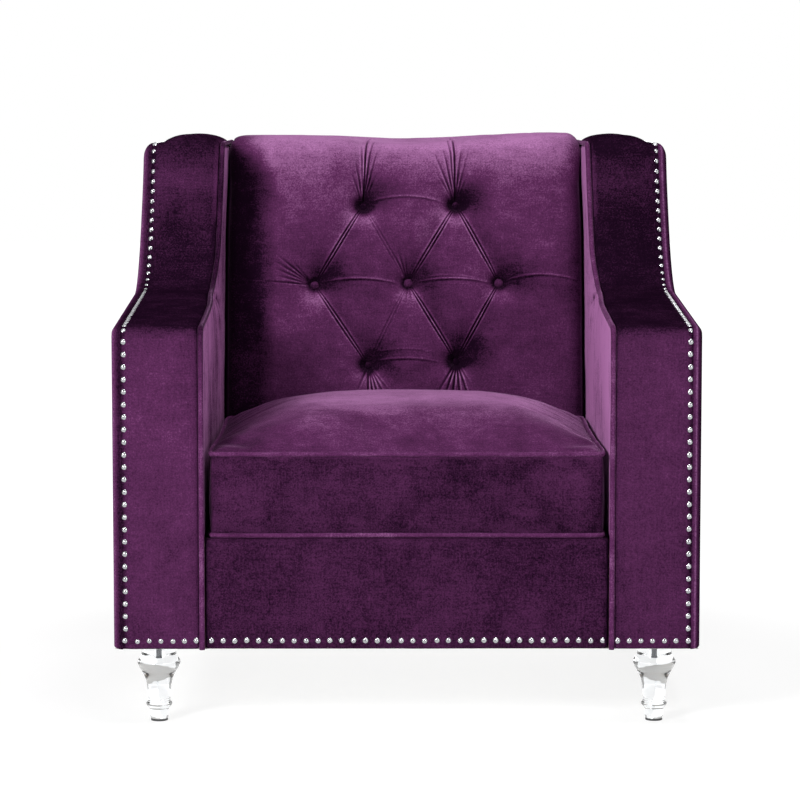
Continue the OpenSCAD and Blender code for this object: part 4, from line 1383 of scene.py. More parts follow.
    def arches(self, relief: Relief) -> None:
        """Adds the arched sideways creases, with their painted light and shade.

        Args:
            relief: What it adds to, with its places.
        """
        u, h = relief.p.T
        for u0, u1, h0, arch, strength in self.creases():
            f = (u - u0) / (u1 - u0)
            inside = np.clip(4 * f * (1 - f), 0, 1)
            d = h - h0 - arch * inside
            fade = inside ** 0.6 * strength
            relief.fine += fade * (1.6 * bell(d + 2.2, 1.8) - 1.6 * bell(d - 0.8, 1.9))
            # Painted highlight above each crease and painted shade below it.
            relief.nap += fade * (0.75 * bell(d - 0.6, 1.4) - 0.60 * bell(d + 2.2, 1.6))

    def channels(self, relief: Relief) -> None:
        """Adds the hollows that run on over the roll and down behind the seat.

        Args:
            relief: What it adds to, with its places.
        """
        u, h = relief.p.T
        for b in self.buttons[5:]:
            d, f = self._along(relief.p, np.array([b.u, b.h]), np.array([b.u * 1.04, b.h + 200]))
            relief.broad += (self.channel_deep * bell(d, 12) * (h > self.top_row)
                             * np.clip(1.2 - f, 0, 1)) ** 3
        for b in self.buttons[:2]:
            relief.broad += (self.channel_deep * bell(u - b.u, 14) * (h < b.h)) ** 3

    def sink(self, u: Array, h: Array) -> tuple[Array, Array]:
        """Depth of the cloth below the crests, and its painted light and shade.

        Args:
            u: Sideways places.
            h: Heights along the face.

        Returns:
            Depths in millimetres and values of painted light and shade.
        """
        p = np.column_stack([u, h])
        relief = Relief(p, *np.zeros((3, len(u))))
        for add in (self.pits, self.pleats, self.fans, self.arches, self.channels):
            add(relief)
        nap = relief.nap
        # Painted shadow of the left wing across the pad's left side, and painted shade along its
        # right edge.
        far = 208 + 20 * ramp(h, 780, 840)
        nap -= 1.35 * np.clip((-u - far) / 56, 0, 1) + 0.4 * ramp(u, 256, 286)
        # Painted shade lower on the pad and a painted highlight on top of the roll.
        nap += through([(400, -0.28), (480, -0.30), (610, -0.32), (700, -0.12), (770, 0.0),
                        (825, 0.5), (850, 0.9)], h)
        loose = 1.2 * ripple(p, 62, 3) + 0.3 * ripple(p, 20, 4)
        keep = np.clip((self.half_w - np.abs(u)) / 16, 0, 1)
        sag = 1.2 + 10.8 * bell(u + 15, 78) + 3.0 * bell(u - 70, 60) - 5.6 * bell(u - 235, 90)
        sag *= np.clip((h - self.top_row - 40) / 60, 0, 1)
        depth = relief.broad ** (1 / 3) + self.side_roll(u) + sag + (relief.fine + loose) * keep
        return depth, nap

    @staticmethod
    def _along(p: Array, a: Array, b: Array) -> tuple[Array, Array]:
        """Signed distance from a line, and share of the way along it.

        Args:
            p: Points.
            a: Start of the line.
            b: Its end.

        Returns:
            Both, for each point.
        """
        d = b - a
        length = float(np.linalg.norm(d))
        d = d / length
        rel = p - a
        return rel @ np.array([-d[1], d[0]]), (rel @ d) / length

    def near_detail(self, u: Array, h: Array) -> Array:
        """Whether a place is near a pleat, so that it gets smaller faces.

        Args:
            u: Places across the face.
            h: Heights along it.

        Returns:
            One truth value for each place.
        """
        p = np.column_stack([u, h])
        near = np.zeros(len(u), bool)
        for b in self.buttons:
            near |= np.hypot(u - b.u, h - b.h) < 30
        for a, b, _ in self.folds():
            d, f = self._along(p, a, b)
            near |= (np.abs(d) < 10) & (f > -0.05) & (f < 1.05)
        for start, end, _, _ in self.rays():
            d, f = self._along(p, start, end)
            near |= (np.abs(d) < 7) & (f > 0) & (f < 1)
        for u0, u1, h0, arch, _ in self.creases():
            f = (u - u0) / (u1 - u0)
            off = np.abs(h - h0 - arch * np.clip(4 * f * (1 - f), 0, 1))
            near |= (off < 7) & (f > 0) & (f < 1)
        return near & (h > self.sizes.recline_z - 20)

    def pad(self) -> Obj:
        """The whole pad as a closed form with a fine tufted face.

        Returns:
            The pad.
        """
        s, path = self.sizes, self.path()
        runs = np.concatenate([np.arange(0, 118, 9.0), np.arange(118, path[-1, 5], self.cell),
                               [path[-1, 5]]])
        edge = self.half_w - self.side_r
        inner = np.linspace(-edge, edge, int(2 * edge / self.cell))
        turn = edge + self.side_r * np.sin(np.radians(np.linspace(0, 90, 9)[1:]))
        us = np.concatenate([-turn[::-1], inner, turn])
        flat = np.stack(np.meshgrid(runs, us, indexing="ij"), axis=-1).reshape(-1, 2)
        piece = new_piece("tufted_back_velvet",
                          np.column_stack([flat[:, 1], np.zeros(len(flat)), flat[:, 0]]),
                          grid_faces(len(runs), len(us)))
        heights = np.interp(flat[:, 0], path[:, 5], path[:, 4])
        near = self.near_detail(flat[:, 1], heights)
        corners = np.array([p.vertices[:] for p in piece.data.polygons])
        piece.data.polygons.foreach_set("select", near[corners].all(axis=1))
        bpy.context.tool_settings.mesh_select_mode = (False, False, True)
        with editing(piece, keep=True):
            bpy.ops.mesh.subdivide(number_cuts=2)
        bpy.context.tool_settings.mesh_select_mode = (True, False, False)
        co = read_points(piece)
        u, run = co[:, 0], co[:, 2]
        y, z, ny, nz, h = (np.interp(run, path[:, 5], path[:, k]) for k in range(5))
        norm = np.hypot(ny, nz)
        depth, nap = self.sink(u, h)
        tail = np.clip((path[-1, 5] - run) / 25, 0, 1)
        rear = np.clip((run - path[-1, 5] + 110) / 60, 0, 1)
        turned = self.side_roll(u)
        depth = turned * (1 - 0.6 * rear) + (depth - turned) * tail * (1 - 0.55 * rear)
        fuller = 1 + (s.x_apron / self.half_w - 1) * ramp(h, 775, 820)
        write_points(piece, np.column_stack([u * fuller, y - depth * ny / norm,
                                             z - depth * nz / norm]))
        set_pile_and_painted_light(piece, nap * tail)
        self.close_back(piece)
        write_points(piece, leaned(read_points(piece)))
        return piece

    def close_back(self, piece: Obj) -> None:
        """Closes the pad with a flat rear that lies on the frame's plane.

        Args:
            piece: The pad's open face.
        """
        s = self.sizes
        with editing(piece):
            bpy.ops.mesh.select_all(action="SELECT")
            bpy.ops.mesh.region_to_loop()
            bpy.ops.mesh.extrude_edges_move()
        co = read_points(piece)
        rim = np.zeros(len(co), bool)
        piece.data.vertices.foreach_get("select", rim)
        top = s.wing_h - s.wing_rear_r + s.gap
        inward = np.sign(co[rim, 0]) * np.where(np.abs(co[rim, 0]) > self.half_w - 3,
                                                s.x_in - 0.5, np.abs(co[rim, 0]))
        y_plane = np.array([s.y_frame(z) - s.gap for z in np.minimum(co[rim, 2], top)])
        co[rim] = np.column_stack([inward, y_plane, np.clip(co[rim, 2], s.deck_z + 1, top)])
        write_points(piece, co)
        select_points(piece, rim)
        with editing(piece, keep=True):
            bpy.ops.mesh.edge_face_add()
            bpy.ops.mesh.select_all(action="SELECT")
            bpy.ops.mesh.normals_make_consistent(inside=False)

    def covered_buttons(self) -> Obj:
        """Seven velvet-covered domes, modelled once and copied.

        Returns:
            The buttons as one piece.
        """
        s = self.sizes
        bpy.ops.object.select_all(action="DESELECT")
        bpy.ops.mesh.primitive_uv_sphere_add(segments=28, ring_count=18, location=(0, 0, 0),
                                             radius=self.button_r * MM)
        one = bpy.context.object
        co = np.array([v.co[:] for v in one.data.vertices]) / MM
        up = co[:, 2] > 0
        round_to = np.hypot(co[:, 0], co[:, 1])
        co[up, 2] *= 0.62
        co[~up, 2] *= 0.42
        turn = np.arctan2(co[:, 1], co[:, 0])
        gather = 0.16 * np.cos(18 * turn) * ramp(round_to, 4, 8)
        co[:, :2] *= (1 + gather[:, None] / self.button_r)
        tilt = math.radians(90 - s.recline)
        turned = np.column_stack([co[:, 0], co[:, 1] * math.cos(tilt) - co[:, 2] * math.sin(tilt),
                                  co[:, 1] * math.sin(tilt) + co[:, 2] * math.cos(tilt)])
        faces = [list(p.vertices) for p in one.data.polygons]
        bpy.data.objects.remove(one)
        lean = math.radians(s.recline)
        out = np.array([0.0, -math.cos(lean), math.sin(lean)])
        points = [turned + (np.array([b.u, s.y_face(b.h), b.h]) - (self.depth + b.deep - 6.5) * out)
                  for b in self.buttons]
        piece = new_piece("covered_buttons", leaned(np.vstack(points)),
                          copied_faces(faces, len(turned), len(points)))
        # Painted highlight on one side of each button and painted shade on the other, darker still
        # for the deeper buttons.
        shine = np.clip(co[:, 1] / 9, -1, 1) * 0.4 - 0.2
        set_pile_and_painted_light(piece, np.concatenate([shine - 0.1 * b.deep for b in self.buttons]))
        return piece

    def build(self) -> None:
        """Builds and places the back's pieces."""
        velvet = Velvet("back_velvet", seed=11.0, contrast=0.85, sheen=0.22)
        self.shop.place(self.pad(), velvet, "velvet", nodes=["back_cover", "back_pad"], fill=0.8)
        # The buttons' velvet is a darker copy of the velvet, painted shade.
        self.shop.place(self.covered_buttons(), Velvet("button_velvet", lift=0.88, seed=3.0),
                        "velvet", nodes=["tuft_buttons"], fill=1.0)


@dataclass
class SeatCushion:
    """Loose boxed seat cushion with piping round both its seams."""

    shop: Workshop
    z0: float = 275.3
    height: float = 125.0
    crown: float = 60.0
    half_x: float = 288.5
    y0: float = 6.5
    y1: float = 523.0
    side_draw: float = 5.0
    corner_draw: float = 5.0
    welt_r: float = 3.5
    cells: tuple[int, int, int] = (66, 58, 14)
    piping_in: float = 1.0
    start_share: float = 0.72
    most_move: float = 24.0
    sim_steps: int = 20

    @property
    def z_low(self) -> float:
        """Height of the bottom seam."""
        return self.z0 + self.welt_r

    @property
    def z_top(self) -> float:
        """Height of the top seam."""
        return self.z0 + self.height - self.welt_r

    def plan(self, xi: Array, eta: Array, inset: float) -> tuple[Array, Array]:
        """Place on the cushion's plan for shares from -1 to 1.

        Args:
            xi: Shares across.
            eta: Shares from front to rear.
            inset: Distance inside the edge.

        Returns:
            Places x and y.
        """
        half_y, mid_y = (self.y1 - self.y0) / 2, (self.y1 + self.y0) / 2
        pull = self.corner_draw * np.abs(xi * eta) ** 10
        x = xi * (self.half_x - inset - self.side_draw * (1 - eta * eta) - pull)
        front = np.where(eta < 0, self.side_draw * (1 - xi * xi), 0.0)
        return x, mid_y + eta * (half_y - inset - front - pull)

    def rise(self, xi: Array, eta: Array, share: float) -> Array:
        """Crown of the top."""
        flat = (1 - np.abs(xi) ** 2.6) * (1 - np.abs(eta) ** 2.6)
        return share * self.crown * np.clip(flat, 0, 1) ** 0.6

    def shell(self) -> tuple[Obj, list[int], int]:
        """Top panel, boxing and bottom as one closed form, before the cushion is stuffed.

        Returns:
            The form, the numbers of the points in its top seam, and how many points each of
            the top and the bottom has. Those of the top come first.
        """
        nx, ny, nz = self.cells
        sx, sy = np.linspace(-1, 1, nx + 1), np.linspace(-1, 1, ny + 1)
        top = np.stack(np.meshgrid(sy, sx, indexing="ij"), -1).reshape(-1, 2)
        x, y = self.plan(top[:, 1], top[:, 0], self.piping_in)
        share = self.start_share
        upper = np.column_stack([x, y, self.z_top + self.rise(top[:, 1], top[:, 0], share)])
        lower = np.column_stack([x, y, np.full(len(x), self.z0 + 0.2)])
        edge = np.minimum(1 - np.abs(top[:, 0]), 1 - np.abs(top[:, 1]))
        lower[:, 2] += 3.3 * np.clip(1 - edge / 0.02, 0, 1)
        points = [upper, lower]
        faces = grid_faces(ny + 1, nx + 1)
        faces += grid_faces(ny + 1, nx + 1, flip=True, first=len(upper))
        rim = ([(0, i) for i in range(nx)] + [(j, nx) for j in range(ny)]
               + [(ny, i) for i in range(nx, 0, -1)] + [(j, 0) for j in range(ny, 0, -1)])
        seam = [j * (nx + 1) + i for j, i in rim]
        n, first = len(seam), 2 * len(upper)
        for k in range(1, nz):
            wall = upper[seam].copy()
            wall[:, 2] = self.z_low + (self.z_top - self.z_low) * (k / nz)
            points.append(wall)
        rows = [[len(upper) + i for i in seam]]
        rows += [[first + (k - 1) * n + c for c in range(n)] for k in range(1, nz)]
        rows += [seam]
        for low, high in zip(rows[:-1], rows[1:]):
            faces += [[low[c], low[(c + 1) % n], high[(c + 1) % n], high[c]] for c in range(n)]
        return new_piece("seat_cushion_velvet", np.vstack(points), faces), seam, len(upper)

    def body(self) -> Obj:
        """Stuffed body, puffed by simulation, with its small lumps and its painted light and shade.

        Returns:
            The body.
        """
        piece, seam, count = self.shell()
        pins = np.zeros(len(piece.data.vertices), bool)
        pins[seam] = True
        pins[count:2 * count] = True
        self.puff(piece, pins, count)
        co = read_points(piece)
        top = co[:count]
        lift = ramp(distance_to_line(top[:, :2], co[seam + seam[:1], :2]), 0, 30)
        top[:, 2] += lift * (1.4 * ripple(top[:, :2], 80, 41) + 0.25 * ripple(top[:, :2], 22, 42))
        walls = co[2 * count:]
        middle = 1 - np.abs(2 * (walls[:, 2] - self.z_low) / (self.z_top - self.z_low) - 1) ** 2.0
        out = ripple(walls, 70, 43) * 0.8 + 1.4 * middle
        front = np.abs(walls[:, 1] - self.y0) < 14
        walls[:, 1] -= np.where(front, out, 0)
        write_points(piece, co)
        height = np.clip((top[:, 2] - self.z_top) / self.crown, 0, 1)
        # Painted shade on the boxing, a painted highlight growing towards the top's crest and rear,
        # and painted shade over the left side of the top.
        nap = np.full(len(co), -0.66)
        nap[:count] = (-0.15 + 0.82 * ramp(top[:, 1], 40, 220) * height
                       - 0.55 * ramp(top[:, 0], -140, -270))
        set_pile_and_painted_light(piece, nap)
        return apply_modifier(piece, "SUBSURF", levels=1, render_levels=1)

    def puff(self, piece: Obj, pins: Array, top_count: int) -> None:
        """Blows the cushion up with Cloth pressure and caps how far a point may move.

        Args:
            piece: The cushion's body.
            pins: Which points are sewn into a seam or lie on the deck.
            top_count: How many of the first points are the top panel.
        """
        before = read_points(piece)
        group = piece.vertex_groups.new(name="seams")
        group.add([int(i) for i in np.nonzero(pins)[0]], 1.0, "REPLACE")
        cloth = piece.modifiers.new("cloth", "CLOTH")
        settings = cloth.settings
        settings.vertex_group_mass = "seams"
        settings.quality = 6
        settings.mass = 0.4
        settings.tension_stiffness = settings.compression_stiffness = 18
        settings.shear_stiffness = 8
        settings.bending_stiffness = 1.5
        settings.use_pressure = True
        settings.uniform_pressure_force = 4.0
        settings.shrink_min = -0.025
        settings.effector_weights.gravity = 0.0
        scene = bpy.context.scene
        for step in range(1, self.sim_steps + 1):
            scene.frame_set(step)
        evaluated = piece.evaluated_get(bpy.context.evaluated_depsgraph_get())
        after = np.empty(len(before) * 3)
        evaluated.data.vertices.foreach_get("co", after)
        after = after.reshape(-1, 3) / MM - [0.0, SIZES.y_shift, 0.0]
        piece.modifiers.remove(cloth)
        piece.vertex_groups.remove(group)
        scene.frame_set(1)
        move = after - before
        reach = np.linalg.norm(move, axis=1)
        move *= (np.minimum(reach, self.most_move) / np.maximum(reach, 1e-9))[:, None]
        move[top_count * 2:] *= 0.25
        after = before + move
        top = after[:top_count]
        high = top[:, 2].max() - self.z_top
        top[:, 2] = self.z_top + (top[:, 2] - self.z_top) * (self.crown + 1.5) / high
        LOG.info("cushion puffed by %.1f mm", float(reach.max()))
        write_points(piece, after)

    def welts(self) -> Obj:
        """Piping round the top and bottom seams.

        Returns:
            Both rings as one piece.
        """
        s = np.linspace(-1, 1, 56, endpoint=False)
        one = np.ones(len(s))
        x, y = self.plan(np.concatenate([s, one, -s, -one]),
                         np.concatenate([-one, s, one, -s]), self.piping_in)
        pieces = []
        for k, z in enumerate((self.z_low, self.z_top)):
            wave = 0.5 * ripple(np.column_stack([x, y]), 60, 51 + k) if k else 0.0
            path = np.column_stack([x, y, np.full(len(x), z) + wave])
            pieces.append(tube(f"cushion_piping_{k}", path, self.welt_r, (0, 0, 1), closed=True))
        return joined(pieces, "cushion_piping")

    def build(self) -> None:
        """Builds and places the cushion's pieces."""
        velvet = Velvet("cushion_velvet", seed=17.0, contrast=0.9, sheen=0.34)
        nodes = ["cushion_core", "cushion_top_panel", "cushion_boxing", "cushion_bottom_panel"]
        self.shop.place(self.body(), velvet, "velvet", Body.CUSHION, nodes, 0.85)
        # The cushion piping's velvet is a slightly darker copy, painted shade.
        piping = Velvet("cushion_piping_velvet", lift=0.96, seed=8.0)
        self.shop.place(self.welts(), piping, "velvet", Body.CUSHION, ["cushion_welts"])


@dataclass
class FlatCovers:
    """Apron, outside back and deck."""

    shop: Workshop
    cloth_t: float = 2.0
    sizes: ChairSizes = SIZES

    def strip(self, name: str, line: Array, half_x: float, crown: float, seed: int,
              dip: float = 1.6, cols: int = 60) -> Obj:
        """Cloth panel that follows a side view between two seams, with painted shade along its two
        sides.

        Args:
            name: Name of the piece.
            line: Side view as (y, z) points, the cloth's outside on the left of its run.
            half_x: Half width.
            crown: Rise of the middle.
            seed: Fixes the unevenness.
            dip: Depth of the seams at both sides.
            cols: Number of columns.

        Returns:
            The closed panel.
        """
        run = run_lengths(line)
        ahead = np.gradient(line, axis=0)
        out = np.column_stack([-ahead[:, 1], ahead[:, 0]])
        out /= np.linalg.norm(out, axis=1)[:, None]
        x = half_x * np.sin(np.linspace(-math.pi / 2, math.pi / 2, cols))
        x = 0.5 * x + 0.5 * np.linspace(-half_x, half_x, cols)
        grid = np.dstack(np.meshgrid(run, x, indexing="ij")).reshape(-1, 2)
        from_side = half_x - np.abs(x)
        inner = ramp(from_side, 0, 14) ** 0.5
        ends = ramp(np.minimum(run, run[-1] - run), 0, 40)
        uneven = 0.7 * ripple(grid, 90, seed).reshape(len(run), cols)
        rise = (crown + uneven) * inner * ends[:, None]
        rise -= dip * np.exp(-from_side / 3.0)[None]
        view = line[:, None] + rise[..., None] * out[:, None]
        points = np.dstack([np.broadcast_to(x, rise.shape), view[..., 0], view[..., 1]])
        piece = new_piece(name, leaned(points.reshape(-1, 3)), grid_faces(len(line), cols))
        # Painted shade into both side seams.
        set_pile_and_painted_light(piece, np.tile(-0.4 * np.exp(-from_side / 4.0), len(line)))
        return thickened(piece, self.cloth_t)

    def build(self) -> None:
        """Builds and places the covers."""
        s = self.sizes
        y, z = s.apron_in, s.base_z
        front = np.vstack([[[18, z + 0.8]], arc((y + 4, z + 4.8), 4, 270, 180, 4),
                           straight((y, z + 4.8), (y, s.deck_z - 9), 22),
                           arc((y + 9, s.deck_z - 9.2), 9, 180, 90, 6), [[y + 30, s.deck_z - 0.3]]])
        apron = self.strip("apron_velvet", front, s.x_apron, 1.0, 61)
        # The apron's velvet is a much darker copy of the velvet, painted shade.
        self.shop.place(apron, Velvet("apron_velvet", 0.67, 23.0, 0.6, 0.1), "velvet",
                        nodes=["apron_cover", "apron_pad"], fill=0.9)
        top = s.wing_h - s.wing_rear_r
        rear = np.array([[s.y_rear(h), h] for h in np.linspace(top, z + 5, 48)])
        rear = np.vstack([[[s.y_back - 6, top]], [[s.y_back - 1.5, top - 0.6]], rear[1:],
                          arc((s.y_rear(z) - 4, z + 4.8), 4, 0, -90, 4),
                          [[s.y_rear(z) - 16, z + 0.8]]])
        back = self.strip("outside_back_velvet", rear, s.x_nail + 1.2, 1.6, 62)
        self.shop.place(back, Velvet("rear_velvet", seed=29.0), "velvet",
                        nodes=["outside_back_cover"], fill=0.9)
        flat = np.array([[v, s.deck_z - 0.4] for v in np.linspace(y + 28, s.seat_d + 18, 40)])
        deck = self.strip("deck_velvet", flat, s.x_apron, 0.0, 63, dip=1.0)
        # The deck's velvet is a darker copy of the velvet, painted shade under the cushion.
        self.shop.place(deck, Velvet("deck_velvet", lift=0.85, seed=31.0), "velvet",
                        nodes=["deck_cover", "deck_pad"], fill=0.9)


@dataclass
class InnerCloths:
    """Cloths inside and under the chair: seat burlap, back scrim and webbing, twines, lining."""

    shop: Workshop
    back: TuftedBack
    x_board: float = 322.0
    x_skin: float = 423.0
    web_w: float = 50.0
    web_rows: tuple[float, ...] = (417.5, 544.5, 671.5, 798.5)
    web_top: float = 806.0
    leg_x: float = 363.0
    leg_ys: tuple[float, float] = (52.0, 712.1)
    hole_r: float = 27.6
    hole_edge: float = 8.5
    twine_r: float = 0.75
    knot_depth: float = 63.0
    knot_r: float = 1.6
    knot_turns: float = 2.5
    sizes: ChairSizes = SIZES

    def stretched(self, name: str, grid: tuple[Array, Array],
                  place: Callable[[Array, Array], Array], thickness: float,
                  holes: Sequence[tuple[float, float]] = ()) -> Obj:
        """A sheet of cloth stretched over the frame.

        Args:
            name: Name of the piece.
            grid: Places of the columns and rows of points.
            place: Turns columns and rows into points of the cloth's outer face.
            thickness: Thickness of the cloth.
            holes: Middles of the holes for the legs.

        Returns:
            The closed sheet.
        """
        cols, rows = grid
        u, v = (k.ravel() for k in np.meshgrid(cols, rows))
        piece = new_piece(name, np.column_stack([u, v, np.zeros(len(u))]),
                          grid_faces(len(rows), len(cols)))
        if holes:
            in_hole = np.zeros(len(u), bool)
            for x, y in holes:
                in_hole |= np.hypot(u - x, v - y) < self.hole_r
            select_points(piece, in_hole)
            with editing(piece, keep=True):
                bpy.ops.mesh.delete(type="VERT")
            u, v = read_points(piece)[:, :2].T.copy()
            rim = self.on_rim(piece)
            for x, y in holes:
                away = np.hypot(u - x, v - y)
                near = rim & (away < self.hole_r + self.hole_edge)
                pull = self.hole_r / np.maximum(away, 1.0)
                u, v = np.where(near, x + (u - x) * pull, u), np.where(near, y + (v - y) * pull, v)
        write_points(piece, place(u, v))
        return thickened(piece, thickness)

    @staticmethod
    def on_rim(piece: Obj) -> Array:
        """Whether each point is on an open edge of the sheet.

        Args:
            piece: The sheet.

        Returns:
            One truth value for each point.
        """
        with editing(piece):
            bpy.ops.mesh.select_mode(type="VERT")
            bpy.ops.mesh.select_non_manifold()
        rim = np.zeros(len(piece.data.vertices), bool)
        piece.data.vertices.foreach_get("select", rim)
        return rim

    def behind(self, depth: float) -> Callable[[Array, Array], Array]:
        """Place of points on a plane at a depth behind the back's frame.

        Args:
            depth: Its distance from the frame's front plane.

        Returns:
            What turns columns and rows into points.
        """
        s = self.sizes
        away = depth / math.cos(math.radians(s.recline))

        def place(u: Array, v: Array) -> Array:
            """Columns are x and rows are z."""
            y = np.array([s.y_frame(z) for z in v]) + away
            return np.column_stack([u, y, v])
        return place

    def webbing(self) -> Obj:
        """Four webbing bands tacked across the back, as one piece.

        Returns:
            The bands.
        """
        bands = []
        for k, middle in enumerate(self.web_rows):
            rows = np.linspace(middle - self.web_w / 2, min(self.web_top, middle + self.web_w / 2),
                               9)
            across = np.linspace(-self.x_board, self.x_board, 60)
            bands.append(self.stretched(f"web_{k}", (across, rows), self.behind(1.9), 1.3))
        return joined(bands, "back_webbing_bands")

    def twines(self) -> Obj:
        """Waxed twine from each button through the pad to its knot behind the washer.

        Returns:
            The twines as one piece.
        """
        s = self.sizes
        tilt = math.radians(s.recline)
        out = np.array([0.0, -math.cos(tilt), math.sin(tilt)])
        up = np.array([0.0, math.sin(tilt), math.cos(tilt)])
        strands = []
        for k, b in enumerate(self.back.buttons):
            crest = np.array([b.u, s.y_face(b.h), b.h])
            run = [crest - d * out for d in np.linspace(self.back.depth - 3, self.knot_depth, 12)]
            for turn in np.linspace(0, self.knot_turns * 2 * math.pi, 31)[1:]:
                side = self.knot_r * (math.cos(turn) * np.array([1.0, 0, 0]) + math.sin(turn) * up)
                run.append(crest - (self.knot_depth + 0.4 + 2.3 * turn / 15.7) * out + side)
            strands.append(tube(f"twine_{k}", np.array(run), self.twine_r, (0.11, 0.3, 0.95),
                                sides=8))
        return joined(strands, "back_button_twines")

    def build(self) -> None:
        """Builds and places the cloths."""
        s = self.sizes
        across = np.linspace(-self.x_board, self.x_board, 76)
        jute = PlainCloth("jute_cloth")
        burlap_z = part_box("deck_burlap")[1].z / MM
        burlap = self.stretched(
            "seat_burlap", (across, np.linspace(14.2, 562.8, 64)),
            lambda u, v: np.column_stack([u, v, burlap_z + 0.35 * ripple(
                np.column_stack([u, v]), 60, 71)]), 1.4)
        self.sheet(burlap, jute, "burlap", "deck_burlap", (0.644, 0.549),
                   ["front_rail", "seat_rear_rail", "seat_springs"])
        scrim = self.stretched("back_scrim_cloth", (across, np.linspace(257.4, 805.8, 64)),
                               self.behind(0.1), 1.3)
        self.sheet(scrim, jute, "burlap", "back_scrim", (0.644, 0.559),
                   ["back_top_rail", "back_lower_rail", "left_inner_board", "right_inner_board"])
        self.sheet(self.webbing(), PlainCloth("back_webbing_cloth", (0.085, 0.085, 0.09),
                                              (0.03, 0.03, 0.033), 330.0),
                   "black_cloth", "back_webbing", (0.644, 0.187),
                   ["left_inner_board", "right_inner_board"])
        twine = PlainCloth("waxed_twine", (0.70, 0.64, 0.50), (0.42, 0.36, 0.25), 900.0)
        self.shop.place(self.twines(), twine, "burlap", nodes=["button_twines"])
        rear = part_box("dust_cloth")[1].y / MM - s.y_shift
        holes = [(side.value * self.leg_x, y) for side in Side for y in self.leg_ys]

        def sagging(u: Array, v: Array) -> Array:
            """The lining hangs a little between the tacked edges.

            Args:
                u: Columns.
                v: Rows.

            Returns:
                Points of its outer face.
            """
            f = 2 * (v - 6) / (rear - 6) - 1
            slack = np.clip((1 - (u / self.x_skin) ** 2) * (1 - f * f), 0, 1)
            fold = 0.5 * ripple(np.column_stack([u, v]), 45, 72) + 1.0
            return np.column_stack([u, v, s.base_z + 0.9 - 2.2 * slack * fold])
        grid = (np.linspace(-self.x_skin, self.x_skin, 107), np.linspace(6.2, rear - 0.2, 97))
        lining = self.stretched("dust_lining", grid, sagging, 0.7, holes)
        pale = PlainCloth("lining_cloth", (0.80, 0.79, 0.77), (0.62, 0.61, 0.60), 900.0)
        self.sheet(lining, pale, "lining_cloth", "dust_cloth", (0.846, 0.760),
                   ["front_rail", "left_outer_board", "right_outer_board", "back_rail"], 0.633)

    def sheet(self, piece: Obj, spec: object, slot: str, node: str, flat: tuple[float, float],
              rests_on: Sequence[str], area: float | None = None) -> None:
        self.shop.place(piece, spec, slot, nodes=[node])


